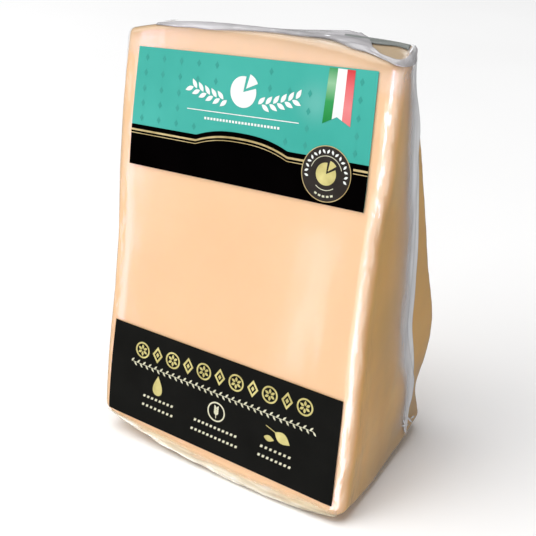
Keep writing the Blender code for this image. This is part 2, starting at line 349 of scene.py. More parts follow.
def cheese_material():
    """Cream paste and tan rind under tight film, whose gloss is the coat."""
    material, nodes, links = new_material("cheese_under_film")
    shader = nodes["Principled BSDF"]
    cloud = noise_texture(nodes, links, 28.0, 4.0)
    paste = ramp(nodes, cloud, links, [(0.30, (0.860, 0.527, 0.276)), (0.70, (0.898, 0.562, 0.303))])
    # Painted shade: the paste turns a darker tan along the front's top edge and its rounded left edge, as
    # given by the zone values; the same tan also darkens the tip's top and mottles the back
    shade_and_tone_cloud = noise_texture(nodes, links, 90.0, 3.0, (0.4, 1.0, 1.0))
    dull = ramp(nodes, shade_and_tone_cloud, links, [(0.35, (0.300, 0.210, 0.110)), (0.65, (0.390, 0.300, 0.190))])
    paste = mix_colours(nodes, links, attribute(nodes, "dull"), paste, dull)
    streak = noise_texture(nodes, links, 42.0, 2.0, (1.0, 1.0, 0.45))
    rind = ramp(nodes, streak, links, [(0.30, (0.690, 0.370, 0.085)), (0.48, (0.775, 0.405, 0.090)),
                                       (0.62, (0.780, 0.445, 0.125)), (0.75, (0.860, 0.455, 0.110))])
    patch = noise_texture(nodes, links, 22.0, 2.0, (1.0, 1.0, 0.6))
    warm = ramp(nodes, patch, links, [(0.38, (0.90, 0.93, 0.90)), (0.62, (1.0, 0.99, 1.0))])
    rind = mix_colours(nodes, links, 1.0, rind, warm, "MULTIPLY")
    brown = ramp(nodes, streak, links, [(0.35, (0.50, 0.29, 0.085)), (0.65, (0.58, 0.34, 0.105))])
    rind = mix_colours(nodes, links, attribute(nodes, "brown"), rind, brown)
    rind_share = attribute(nodes, "rind")
    border = ramp(nodes, rind_share, links, [(0.60, (1.12, 1.0, 0.92)), (1.0, (1.0, 1.0, 1.0))])
    rind = mix_colours(nodes, links, 1.0, rind, border, "MULTIPLY")
    links.new(mix_colours(nodes, links, rind_share, paste, rind), shader.inputs["Base Color"])
    fine = noise_texture(nodes, links, 420.0, 3.0)
    links.new(bump(nodes, links, fine, 0.10, 0.0004).outputs["Normal"], shader.inputs["Normal"])
    soft = noise_texture(nodes, links, 70.0, 2.0, (1.0, 1.0, 0.14))
    ripple = bump(nodes, links, soft, 0.12, 0.0008)
    crumple = noise_texture(nodes, links, 150.0, 3.0, (1.0, 1.0, 0.40))
    edge_ripple = bump(nodes, links, crumple, attribute(nodes, "edge"), 0.0020)
    links.new(ripple.outputs["Normal"], edge_ripple.inputs["Normal"])
    links.new(edge_ripple.outputs["Normal"], shader.inputs["Coat Normal"])
    shader.inputs["Roughness"].default_value = 0.55
    shader.inputs["Coat Weight"].default_value = 1.0
    shader.inputs["Coat Roughness"].default_value = 0.13
    shader.inputs["Subsurface Weight"].default_value = 0.12
    shader.inputs["Subsurface Radius"].default_value = (1.0, 0.55, 0.25)
    shader.inputs["Subsurface Scale"].default_value = 0.003
    return material


def own_height(places):
    """The share of the wedge's own height, from its bowed heel to its arched tip, at each place."""
    x, y, z = places.T
    across = (x - MIDDLE_X) / half_width(z)
    along = np.clip(y / half_depth(z), -1.0, 1.0)
    bottom = heel_level(across, along)
    return (z - bottom) / (tip_level(across, along) - bottom)


def zone_values(places, top):
    """How much painted shade and darker tone the paste takes, how brown the rind is and how wavy the film
    is at each place.
    """
    x, y, z = places.T
    height = (z - HEEL_CORNER) / (TIP_CORNER - HEEL_CORNER)
    across = (x - MIDDLE_X) / half_width(z)
    own = own_height(places)
    cloud = grain(places, 0.012, 31)
    # Painted shade along the front's top edge, under the band and its rounding, and along its rounded left
    # edge; a darker tan over the tip's top and random darker patches on the back
    dull = 0.60 * smooth_step(own + 0.003 * cloud, 0.960, 1.0) * (1.0 - top) + 0.92 * top
    brown = smooth_step(0.18 - height + 0.04 * cloud + 3.0 * y, 0.0, 0.22)
    in_front = smooth_step(-y / half_depth(z), 0.45, 0.95)
    dull += 0.30 * smooth_step(-across, 0.945, 0.985) * in_front * (1.0 - top)
    on_back = smooth_step(y / half_depth(z), 0.75, 1.0)
    dull += 0.13 * on_back * smooth_step(grain(places, 0.0060, 34), -0.6, 0.7) * (1.0 - top)
    edge = (0.03 + 0.85 * in_front) * smooth_step(np.abs(across), 0.88, 0.96)
    edge += 0.75 * in_front * smooth_step(-height, -0.03, 0.02)
    return np.clip(dull, 0.0, 1.0), brown, np.clip(edge, 0.0, 1.0)


skin_places, skin_faces, skin_rind, skin_top = wedge_skin()
cheese = new_piece("cheese_wedge", skin_places, skin_faces, cheese_material())
skin_shade_and_tone, skin_brown, skin_edge = zone_values(skin_places, skin_top)
rind_border = smooth_step(skin_rind + 0.10 * grain(skin_places, 0.007, 33), 0.50, 0.95) * (1.0 - skin_top)
skin_values = {"rind": rind_border, "dull": skin_shade_and_tone, "brown": skin_brown, "edge": skin_edge}
for word, values in skin_values.items():
    add_values(cheese, word, values)
lumps = grain(skin_places, 0.016, 1) * 0.00040 + grain(skin_places, 0.0045, 2) * 0.00012
broken = smooth_step(skin_places[:, 1] / half_depth(skin_places[:, 2]), 0.75, 1.0) * (1.0 - skin_rind)
crumbs = grain(skin_places, 0.0075, 3) * 0.00065 + grain(skin_places, 0.0030, 4) * 0.00035 - 0.0003
lumps = lumps * np.maximum(blend(0.15, 0.8, skin_rind), 0.18 * skin_edge)
swell_piece(cheese, skin_places, lumps + crumbs * broken - 0.0002)
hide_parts("packed_wedge")
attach(cheese, "root")


# The shrunk film.
# One clear film, drawn tight on all faces by the vacuum. It stands off the cheese in folds beside
# the welded seam, round the tip and at the heel's corners, and there it looks milky.
FILM_GAP = 0.00012
TENT_WIDTH = 0.0115
TENT_HEIGHT = 0.0006
ROOT_FALL = 0.0010

# The seam's root line, as a share of the height and how far back it runs as a share of the depth
SEAM_ROUTE = [
    (0.00, 0.74), (0.06, 0.76), (0.12, 0.825), (0.20, 0.775), (0.29, 0.71), (0.36, 0.685),
    (0.47, 0.725), (0.58, 0.76), (0.72, 0.77), (0.80, 0.79), (0.87, 0.865), (0.93, 0.845), (1.00, 0.80),
]


def smooth_route(points, at):
    """Reads a smooth curve through a list of (place, value) points."""
    places, values = np.array(points).T
    slopes = np.gradient(values, places)
    index = np.clip(np.searchsorted(places, at, side="right") - 1, 0, len(places) - 2)
    span = places[index + 1] - places[index]
    t = np.clip((at - places[index]) / span, 0.0, 1.0)
    start = values[index] * (1 + 2 * t) * (1 - t) ** 2 + slopes[index] * span * t * (1 - t) ** 2
    end = values[index + 1] * t * t * (3 - 2 * t) + slopes[index + 1] * span * t * t * (t - 1)
    return start + end


def seam_line(height):
    """How far behind the middle the seam's root runs, at a share of the height."""
    return (2.0 * smooth_route(SEAM_ROUTE, height) - 1.0) * half_depth(plain_level(height))


def film_material(name, stretch, dark, light, gloss=1.0):
    """Clear film that turns milky where its fold value is high, and painted white where its highlight
    value is high, for the highlights that creases, crests and glints catch.
    """
    material, nodes, links = new_material(name)
    shader = nodes["Principled BSDF"]
    streak = noise_texture(nodes, links, 260.0, 3.0, stretch)
    tone = ramp(nodes, streak, links, [(0.32, dark), (0.70, light)])
    # Painted highlight: this white stands for the light that the film's creases, crests and glints catch
    painted_white = ramp(nodes, streak, links, [(0.30, (0.86, 0.88, 0.92)), (0.60, (0.97, 0.98, 1.0))])
    painted_highlight = attribute(nodes, "painted_highlight")
    links.new(mix_colours(nodes, links, painted_highlight, tone, painted_white), shader.inputs["Base Color"])
    shader.inputs["Roughness"].default_value = 0.22
    shader.inputs["Specular IOR Level"].default_value = 0.8 * gloss
    shader.inputs["Coat Weight"].default_value = gloss
    shader.inputs["Coat Roughness"].default_value = blend(0.22, 0.06, gloss)
    clear = nodes.new("ShaderNodeBsdfTransparent")
    uneven = nodes.new("ShaderNodeMapRange")
    uneven.inputs["From Min"].default_value = 0.25
    uneven.inputs["From Max"].default_value = 0.75
    uneven.inputs["To Min"].default_value = 0.72
    uneven.inputs["To Max"].default_value = 1.0
    links.new(streak, uneven.inputs["Value"])
    share = nodes.new("ShaderNodeMath")
    share.operation = "MULTIPLY"
    links.new(attribute(nodes, "fold"), share.inputs[0])
    links.new(uneven.outputs["Result"], share.inputs[1])
    most = nodes.new("ShaderNodeMath")
    most.operation = "MAXIMUM"
    links.new(share.outputs["Value"], most.inputs[0])
    links.new(painted_highlight, most.inputs[1])
    mixed = nodes.new("ShaderNodeMixShader")
    links.new(most.outputs["Value"], mixed.inputs["Fac"])
    links.new(clear.outputs["BSDF"], mixed.inputs[1])
    links.new(shader.outputs["BSDF"], mixed.inputs[2])
    links.new(mixed.outputs["Shader"], nodes["Material Output"].inputs["Surface"])
    return material


def film_folds(places):
    """How far the film stands off the cheese at each place, and how milky it is there."""
    x, y, z = places.T
    height = np.clip((z - HEEL_CORNER) / (TIP_CORNER - HEEL_CORNER), 0.0, 1.0)
    across = (x - MIDDLE_X) / half_width(z)
    on_side = smooth_step(np.abs(across), 0.955, 0.985)
    before_line = seam_line(height) - y
    tent = np.where(before_line > 0, np.exp(-((before_line / TENT_WIDTH) ** 2) * 1.6),
                    smooth_step(before_line, -ROOT_FALL, 0.0))
    ripple = grain(places * np.array([1.0, 1.0, 0.15]), 0.0035, 5)
    tent_amount = tent * on_side * smooth_step(height, 0.01, 0.06)
    on_tip = smooth_step(own_height(places), 0.985, 0.999)
    crumple = np.abs(grain(places * np.array([0.5, 2.5, 1.0]), 0.004, 6))
    amount = TENT_HEIGHT * tent_amount * (0.85 + 0.5 * ripple)
    amount += on_tip * 0.0004 * crumple * smooth_step(across, -0.9, 0.5)
    own = own_height(places)
    # The veil turns the film milky just below the tip's front edge, where it lies flat; together with the
    # paste's painted shade there it paints the greyish shade under the band
    shade_veil = smooth_step(own, 0.930, 0.950) * smooth_step(-y / half_depth(z), 0.2, 0.8)
    shade_veil *= 1.0 - smooth_step(own, 0.968, 0.990)
    tip_milk = on_tip * smooth_step(across, -0.8, 0.4) * (1.0 - smooth_step(across, 0.40, 0.75))
    milky = 0.50 * tent_amount + 0.15 * tip_milk + 0.17 * shade_veil
    return amount, np.clip(milky, 0.0, 1.0)


def finish_film(piece):
    """Every piece of film rides with the pack and stands for part of its solid."""
    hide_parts("packed_wedge")
    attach(piece, "root")


seam_film = film_material("seam_film", (1.0, 1.0, 0.07), (0.90, 0.91, 0.95), (0.98, 0.99, 1.0))
film = new_piece("film_skin", skin_places, skin_faces, seam_film)
film_lift, film_milk = film_folds(skin_places)
swell_piece(film, skin_places, film_lift + FILM_GAP)
add_values(film, "fold", film_milk)
finish_film(film)


# The welded seam.
# The film's two halves are welded together all round. The seam's flange is a narrow double strip,
# folded forward from its root and pressed flat by the vacuum, on both sides and over the tip.
FLANGE_THICKNESS = 0.00022
FLANGE_WIDTH = 0.0088
FLANGE_START = 0.022
FLANGE_END = 0.972
FLANGE_ROLL = 0.0008
FLANGE_ROLL_REACH = 0.0022
FLANGE_REST = 0.00025
FLANGE_WAVE = 0.00035
FLANGE_ROWS = 150
FLANGE_CELLS = 16
# Where the painted highlight line lies forward of the flange's root, and its half width
CREASE_BACK = 0.0019
CREASE_HALF = 0.0016


def side_places(side, y, height, lift):
    """Places over a flat side: how far back, at a share of the height, lifted off the cheese."""
    wide = half_width(plain_level(height))
    radius = upright_radius("back_right" if side > 0 else "back_left", height)
    tangent = half_depth(plain_level(height)) - radius
    turn = np.clip((y - tangent) / radius, 0.0, 1.5)
    out = radius + lift
    x = wide - radius + out * np.cos(turn)
    return settle(side * x, np.minimum(y, tangent) + out * np.sin(turn), height)


def closed_sheet(middle, thickness):
    """A thin closed sheet whose middle runs through a grid of places: its places and faces."""
    rows, columns = middle.shape[:2]
    along_rows = np.gradient(middle, axis=0)
    along_columns = np.gradient(middle, axis=1)
    normal = np.cross(along_columns, along_rows)
    normal /= np.maximum(np.linalg.norm(normal, axis=-1, keepdims=True), 1e-12)
    thickness = np.broadcast_to(np.asarray(thickness), (rows, columns))[..., None]
    places = np.concatenate([(middle + normal * thickness / 2).reshape(-1, 3),
                             (middle - normal * thickness / 2).reshape(-1, 3)])
    offset = rows * columns
    faces = []
    for row in range(rows - 1):
        for column in range(columns - 1):
            start = row * columns + column
            quad = [start, start + 1, start + columns + 1, start + columns]
            faces.append(quad)
            faces.append([index + offset for index in reversed(quad)])
    rim = list(range(columns)) + [row * columns + columns - 1 for row in range(1, rows)]
    rim += [(rows - 1) * columns + column for column in range(columns - 2, -1, -1)]
    rim += [row * columns for row in range(rows - 2, 0, -1)]
    for start, end in zip(rim, rim[1:] + rim[:1]):
        faces.append([end, start, start + offset, end + offset])
    return places, faces


def grid_values(values):
    """One number for each point of a closed sheet, from a grid of numbers."""
    return np.concatenate([values.ravel(), values.ravel()])


def seam_flange(name, side, seed):
    """The flange of one side, from the heel to the tip."""
    height = np.linspace(FLANGE_START, FLANGE_END, FLANGE_ROWS)[:, None]
    share = (np.arange(FLANGE_CELLS + 1) / FLANGE_CELLS)[None, :] ** 1.5
    drift = np.array([noise.noise(Vector((0.0, seed, value * 9.0))) for value in height[:, 0]])[:, None]
    near_tip = smooth_step(height, 0.78, 0.90)
    taper = smooth_step(height, FLANGE_START - 0.03, 0.13)
    width = FLANGE_WIDTH * (1.0 + 0.25 * drift) * taper
    forward = share * width
    y = seam_line(height) - forward
    plain = side_places(side, y, height, 0.0)
    skin, _ = film_folds(plain.reshape(-1, 3))
    skin = skin.reshape(plain.shape[:2])
    roll = FLANGE_ROLL * (1.0 + 0.6 * drift) * np.exp(-forward / FLANGE_ROLL_REACH)
    roll = roll * smooth_step(forward, -0.0001, 0.0006)
    stretched = (plain * np.array([1.0, 1.0, 0.12])).reshape(-1, 3)
    waves = grain(stretched, 0.0024, seed).reshape(plain.shape[:2])
    free = roll + FLANGE_WAVE * np.abs(waves) * smooth_step(share, 0.0, 0.5)
    lift = skin + FLANGE_REST + free * blend(1.0, 0.2, near_tip)
    places, faces = closed_sheet(side_places(side, y, height, lift), FLANGE_THICKNESS)
    piece = new_piece(name, places, faces, seam_film)
    milk = blend(0.97, 0.0, smooth_step(share, 0.10, 1.0)) * np.ones_like(plain[..., 0])
    add_values(piece, "fold", grid_values(milk * smooth_step(height, 0.015, 0.05)))
    # A painted highlight: a white line along the flange a little forward of its root, where the fold would
    # catch the light
    highlight_line = CREASE_BACK * (1.0 + 0.75 * smooth_step(height, 0.30, 0.55)) + 0.0004 * drift
    fold_highlight = np.exp(-((forward - highlight_line) / CREASE_HALF) ** 2) * (0.75 + 0.5 * waves)
    add_values(piece, "painted_highlight", grid_values(np.clip(fold_highlight, 0.0, 1.0) * smooth_step(height, 0.10, 0.20)))
    finish_film(piece)
    return piece


seam_flange("seam_flange_right", 1.0, 3.0)
seam_flange("seam_flange_left", -1.0, 8.0)

# Short sharp creases where the seam ends at the heel, painted white as glints: y, share of the height,
# twice, and the width
FOOT_CREASES = [
    (0.0183, 0.0815, 0.0253, 0.0260, 0.0010),
    (0.0133, 0.0728, 0.0213, 0.0399, 0.0012),
    (0.0230, 0.0511, 0.0273, 0.0391, 0.0010),
    (0.0163, 0.0548, 0.0181, 0.0307, 0.0012),
    (0.0146, 0.0877, 0.0178, 0.0571, 0.0008),
]
CREASE_HEIGHT = 0.0006
CREASE_ROWS = 16
CREASE_CELLS = 6


def crease_mesh_parts(middle, across, out, width, height):
    """A thin pointed ridge along a line of places: its closed places and faces."""
    share = np.linspace(0.0, 1.0, len(middle))
    swell = np.sin(math.pi * np.clip(share, 0.02, 0.98))[:, None]
    turn = np.linspace(0.0, 2 * math.pi, CREASE_CELLS, endpoint=False)[None, :]
    ring = (middle[:, None, :] + across[:, None, :] * (np.cos(turn) * swell * width / 2)[..., None]
            + out[:, None, :] * (np.sin(turn) * swell * height / 2 + height * 0.4)[..., None])
    count = CREASE_CELLS
    faces = [list(range(count))[::-1], [(len(middle) - 1) * count + i for i in range(count)]]
    for row in range(len(middle) - 1):
        for i in range(count):
            start, after = row * count + i, row * count + (i + 1) % count
            faces.append([start, after, after + count, start + count])
    return ring.reshape(-1, 3), faces


def crease_piece(name, lines, painted_white=0.9):
    """One piece of several ridges, each a line of places with its width and its height, painted white as
    glints by the given share.
    """
    places, faces = [], []
    for middle, width, height, out in lines:
        along = np.gradient(middle, axis=0)
        across = np.cross(np.broadcast_to(out, along.shape), along)
        across /= np.linalg.norm(across, axis=1, keepdims=True)
        outward = np.broadcast_to(out, along.shape)
        part, part_faces = crease_mesh_parts(middle, across, outward, width, height)
        faces += [[index + sum(map(len, places)) for index in face] for face in part_faces]
        places.append(part)
    flat = np.concatenate(places)
    flat[:, 2] = np.maximum(flat[:, 2], 0.0)
    piece = new_piece(name, flat, faces, seam_film)
    add_values(piece, "fold", np.full(len(flat), 0.9))
    add_values(piece, "painted_highlight", np.full(len(flat), painted_white))
    finish_film(piece)
    return piece


for side, word in ((1.0, "right"), (-1.0, "left")):
    ridges = []
    for y_start, height_start, y_end, height_end, width in FOOT_CREASES:
        share = np.linspace(0.0, 1.0, CREASE_ROWS)
        y = blend(y_start, y_end, share)
        line = side_places(side, y, blend(height_start, height_end, share), 0.0003)
        ridges.append((line, width, CREASE_HEIGHT, np.array([side, 0.0, 0.0])))
    crease_piece("foot_creases_" + word, ridges)


# The film over the tip.
# The seam's flange goes on over the tip as a crumpled grey band, which hangs over the front rim and
# turns down the side. The cheese shows through behind it, and a flat fold runs along the back edge.

# The band's free edge: how far along the tip's rim, from the middle of its front to the right and
# round the corner, and how far below the rim it hangs, or short of it where negative
BAND_ROUTE = [
    (-0.0449, 0.0000), (-0.0355, 0.0012), (-0.0260, 0.0015), (-0.0195, 0.0018), (-0.0118, 0.0015),
    (0.0000, 0.0007), (0.0095, 0.0002), (0.0165, 0.0000), (0.0225, -0.0005), (0.0270, -0.0012),
    (0.0320, -0.0011), (0.0355, -0.0005), (0.0390, -0.0001), (0.0450, -0.0003), (0.0500, -0.0001),
    (0.0545, 0.0002), (0.0580, 0.0009), (0.0615, 0.0022), (0.0645, 0.0042), (0.0680, 0.0066),
]
BAND_BACK_ROUTE = [
    (-0.0449, -0.0102), (0.0400, -0.0102), (0.0430, -0.0075), (0.0455, -0.0032), (0.0480, -0.0018),
    (0.0545, -0.0012), (0.0600, -0.0008), (0.0680, 0.0000),
]
BAND_ROWS = 190
BAND_CELLS = 24
BAND_LIFT = 0.00030
BAND_RIDGE = 0.00040
BAND_FOLD = 0.00042
BAND_FOLD_PITCH = 0.0240
BAND_BUNCH = 0.00020


def rim_places(along, past, lift):
    """Places over the tip's rim: so far along it, and so far below it or short of it on the top."""
    radius = UPRIGHT_TIP["front_right"]
    wide = half_width(plain_level(1.0))
    deep = half_depth(plain_level(1.0))
    bend = TIP_EDGE * math.pi / 2
    turn = np.clip((past + bend / 2) / bend, 0.0, 1.0) * math.pi / 2
    inset = TIP_EDGE - (TIP_EDGE + lift) * np.sin(turn) - np.minimum(past + bend / 2, 0.0)
    rise = (TIP_EDGE + lift) * np.cos(turn) - TIP_EDGE - np.maximum(past - bend / 2, 0.0)
    corner = wide - radius
    arc = radius * math.pi / 2
    angle = np.clip((along - corner) / arc, 0.0, 1.0) * math.pi / 2
    x = np.minimum(along, corner) + (radius - inset) * np.sin(angle)
    y = radius - deep - (radius - inset) * np.cos(angle) + np.maximum(along - corner - arc, 0.0)
    return settle(x, y, np.ones_like(x), rise)


def tip_band():
    """The seam's flange where it lies over the tip, hangs over its rim and turns down the side."""
    along = np.linspace(BAND_ROUTE[0][0], BAND_ROUTE[-1][0], BAND_ROWS)[:, None]
    free = smooth_route(BAND_ROUTE, along)
    back = smooth_route(BAND_BACK_ROUTE, along)
    share = (np.arange(BAND_CELLS + 1) / BAND_CELLS)[None, :]
    start = np.maximum(back, free - blend(0.0030, 0.0120, smooth_step(along, -0.045, 0.018)))
    past = blend(start, free, share ** 0.8)
    flat = rim_places(along, past, 0.0)
    along_all = along + 0.0 * past
    waves = grain((flat * np.array([0.35, 1.6, 1.0])).reshape(-1, 3), 0.0042, 11).reshape(flat.shape[:2])
    fine = grain((flat * np.array([0.5, 1.4, 1.0])).reshape(-1, 3), 0.0016, 12).reshape(flat.shape[:2])
    slant = np.sin((along_all * 0.8 + past * 2.2) / BAND_FOLD_PITCH * 2 * math.pi + 2.0 * waves)
    ends = smooth_step(along, -0.045, -0.036)
    ridge = BAND_RIDGE * np.exp(-((1.0 - share) * 3.2) ** 2)
    ridge = ridge * (1.0 - 0.7 * smooth_step(along, 0.049, 0.056))
    folds = BAND_FOLD * np.abs(slant) ** 1.5 * smooth_step(along, 0.010, 0.025)
    folds = folds * (1.0 - 0.8 * smooth_step(along, 0.046, 0.055))
    bunch = BAND_BUNCH * smooth_step(along, 0.0575, 0.0635) * (0.6 + 0.8 * np.abs(waves))
    bunch = bunch * smooth_step(past, -0.0015, 0.0020)
    pressed = blend(0.25, 1.0, smooth_step(1.0 - share, 0.0, 0.20))
    lift = BAND_LIFT + ends * pressed * (ridge + folds + 0.00022 * np.abs(waves) + 0.00004 * fine) + bunch
    lift *= smooth_step(share, -0.25, 0.15)
    places, faces = closed_sheet(rim_places(along_all, past, lift), FLANGE_THICKNESS)
    piece = new_piece("tip_band", places, faces, tip_film)
    milk = blend(0.80, 0.93, smooth_step(share, 0.5, 0.9)) * (1.0 + 0.20 * waves)
    milk = milk * blend(1.0, 0.25, smooth_step(share, 0.90, 1.0))
    add_values(piece, "fold", grid_values(np.clip(milk, 0.0, 1.0)))
    # Painted glints along the band's free edge
    painted_glint = np.exp(-((share - 0.88) / 0.05) ** 2) * smooth_step(fine, 0.1, 0.5) * 0.4
    add_values(piece, "painted_highlight", grid_values(painted_glint * np.ones_like(past)))
    finish_film(piece)
    return piece


# The band's grey tone is painted reflection: it paints the dark surroundings that the clear film reflects
tip_film = film_material("tip_film", (0.12, 1.0, 0.5), (0.42, 0.41, 0.42), (0.70, 0.68, 0.71), 0.40)
tip_band()

# A flat fold of film along the back of the tip's right end, whose dark grey-green tone is painted shade
BACK_FOLD_START = 0.0330
BACK_FOLD_END = 0.0575
BACK_FOLD_DEEP = 0.0036
BACK_FOLD_ROWS = 40
BACK_FOLD_CELLS = 10


def tip_back_fold():
    """The fold that runs along the tip's back edge to its right corner."""
    x = np.linspace(BACK_FOLD_START, BACK_FOLD_END, BACK_FOLD_ROWS)[:, None]
    share = np.linspace(0.0, 1.0, BACK_FOLD_CELLS + 1)[None, :]
    deep = half_depth(plain_level(1.0)) - TIP_EDGE
    y = deep - BACK_FOLD_DEEP * share * (0.8 + 0.2 * np.sin(x / 0.0031))
    flat = settle(x, y, np.ones_like(y))
    waves = grain((flat * np.array([0.4, 1.5, 1.0])).reshape(-1, 3), 0.003, 21).reshape(flat.shape[:2])
    lift = FLANGE_REST + 0.0004 * np.sin(math.pi * share) ** 0.7 + 0.0001 * waves
    places, faces = closed_sheet(settle(x, y, np.ones_like(y), lift), FLANGE_THICKNESS)
    piece = new_piece("tip_back_fold", places, faces, back_fold_film)
    add_values(piece, "fold", grid_values(np.full(y.shape, 0.85)))
    finish_film(piece)
    return piece


back_fold_film = film_material("back_fold_film", (0.12, 1.0, 0.5), (0.20, 0.22, 0.21),
                               (0.30, 0.32, 0.31), 0.15)
tip_back_fold()

# A sharp upright crease at the tip's right end, a lilac-white ridge in front of it and two glints, all
# ridges with a faint painted highlight
TIP_CREASES = [
    ((0.0583, -0.0012), (0.0586, 0.0026), 0.0007, 0.0002),
    ((0.0268, -0.0030), (0.0300, -0.0026), 0.0010, 0.0006),
    ((-0.0440, -0.0012), (-0.0372, -0.0010), 0.0010, 0.0005),
]
TIP_CREASE_LIFT = 0.0007
ridges = []
for start, end, width, height in TIP_CREASES:
    share = np.linspace(0.0, 1.0, CREASE_ROWS)
    x, y = blend(start[0], end[0], share), blend(start[1], end[1], share)
    line = settle(x, y, np.ones(CREASE_ROWS), TIP_CREASE_LIFT)
    ridges.append((line, width, height, np.array([0.0, 0.0, 1.0])))
crease_piece("tip_creases", ridges, 0.12)


# The film over the heel's front edge.
# Between the lower label and the ground the film stands off the rind in long creamy ripples, where
# it was drawn round the bowed heel's edge and had slack to take up.
LIP_COLUMNS = 150
LIP_ROWS = 22
LIP_RISE = 0.0036
LIP_CLEAR = 0.0010
LIP_TURN = 1.45
LIP_LIFT = 0.00042
LIP_ENDS = (-0.0578, 0.0580)
LABEL_FOOT = (0.0020, -0.0010)


def front_places(x, level, lift):
    """Places over the front, from distances right of the middle and above the heel's corners.

    Past an upright edge's tangent, or the heel edge's, they go on round that edge.
    """
    across = x / half_width(HEEL_CORNER + level)
    bottom = heel_level(across, -1.0)
    top = tip_level(across, -1.0)
    height = (HEEL_CORNER + level - bottom) / (top - bottom)
    wrap = HEEL_EDGE - height * (top - bottom)
    angle = np.maximum(wrap, 0.0) / HEEL_EDGE
    wrapped = wrap > 0.0
    inset = np.where(wrapped, HEEL_EDGE - (HEEL_EDGE + lift) * np.cos(angle), -lift)
    rise = np.where(wrapped, HEEL_EDGE - (HEEL_EDGE + lift) * np.sin(angle), 0.0)
    height = np.where(wrapped, 0.0, height)
    radius = np.where(x > 0, upright_radius("front_right", height), upright_radius("front_left", height))
    flat = half_width(plain_level(height)) - radius
    turn = np.maximum(np.abs(x) - flat, 0.0) / radius
    out = radius - inset
    plan_x = np.sign(x) * (np.minimum(np.abs(x), flat) + out * np.sin(turn))
    plan_y = radius - half_depth(plain_level(height)) - out * np.cos(turn)
    return settle(plan_x, plan_y, height, rise)


def lip_film():
    """The rippled film between the lower label and the ground, round the heel's front edge."""
    x = np.linspace(LIP_ENDS[0], LIP_ENDS[1], LIP_COLUMNS)[None, :]
    share = np.linspace(0.0, 1.0, LIP_ROWS)[:, None]
    tangent = heel_level(x / half_width(HEEL_CORNER), -1.0) - HEEL_CORNER + HEEL_EDGE
    label_foot = blend(LABEL_FOOT[0], LABEL_FOOT[1], (x - LIP_ENDS[0]) / (LIP_ENDS[1] - LIP_ENDS[0]))
    high = np.minimum(label_foot - LIP_CLEAR, tangent + LIP_RISE)
    level = blend(high, tangent - HEEL_EDGE * LIP_TURN, share)
    x = x + 0.0 * level
    flat = np.stack([x * 0.16, x * 0.0, level], axis=-1)
    ripple = grain(flat.reshape(-1, 3), 0.0017, 41).reshape(level.shape)
    fine = grain((flat * 2.3).reshape(-1, 3), 0.0017, 42).reshape(level.shape)
    border = smooth_step(share, 0.0, 0.22) * smooth_step(1.0 - share, 0.0, 0.10)
    lift = FILM_GAP + 0.00006 + LIP_LIFT * (0.35 + ripple + 0.35 * fine).clip(0.0) * border
    places = front_places(x, level, lift)
    places[..., 2] = np.maximum(places[..., 2], 0.00015)
    sheet, faces = closed_sheet(places, 0.00008)
    piece = new_piece("lip_film", sheet, faces, lip_material)
    fold = (0.62 + 0.55 * ripple) * smooth_step(share, 0.0, 0.35)
    add_values(piece, "fold", grid_values(np.clip(fold, 0.0, 0.9)))
    # Painted highlights on the ripples' crests
    crest_highlight = smooth_step(ripple + 0.3 * fine, 0.30, 0.55) * border
    add_values(piece, "painted_highlight", grid_values(crest_highlight * 0.5))
    finish_film(piece)
    return piece


lip_material = film_material("lip_film", (0.15, 1.0, 1.0), (0.93, 0.80, 0.54), (1.0, 0.95, 0.78), 0.7)
lip_film()


# The printed labels.
# Two fields are printed on the front of the film: a teal one with a black foot above, and a black
# one below. The ink lies in layers, each a little further out than the one under it.
PRINT_BASE = 0.00024
PRINT_LAYER = 0.00004
BASE_THICKNESS = 0.00010
UPPER_CORNERS = {
    "top_left": (-0.0515, 0.1565),
    "top_right": (0.0505, 0.1605),
    "bottom_right": (0.0522, 0.1132),
    "bottom_left": (-0.0525, 0.1110),
}
LOWER_CORNERS = {
    "top_left": (-0.0556, 0.0437),
    "top_right": (0.0546, 0.0426),
    "bottom_right": (0.0557, -0.0010),
    "bottom_left": (-0.0568, 0.0020),
}
GLOW_PLACE = (0.0275, -0.018, 0.1590)
GLOW_REACH = 0.016


def lay_on_front(mesh, layer):
    """Moves a flat plate, drawn as (x, level, thickness), onto the front in its layer of ink."""
    flat = np.empty(len(mesh.vertices) * 3, dtype=np.float32)
    mesh.vertices.foreach_get("co", flat)
    flat = flat.reshape(-1, 3).astype(float)
    lift = PRINT_BASE + BASE_THICKNESS + layer * PRINT_LAYER + flat[:, 2]
    mesh.vertices.foreach_set("co", front_places(flat[:, 0], flat[:, 1], lift).astype(np.float32).ravel())
    mesh.update()


def place_on_label(corners, share, up):
    """The distance right and the level of a share of a label's width and height."""
    corner = {name: np.array(value) for name, value in corners.items()}
    share = np.asarray(share)[..., None]
    bottom = blend(corner["bottom_left"], corner["bottom_right"], share)
    top = blend(corner["top_left"], corner["top_right"], share)
    return blend(bottom, top, np.asarray(up)[..., None])


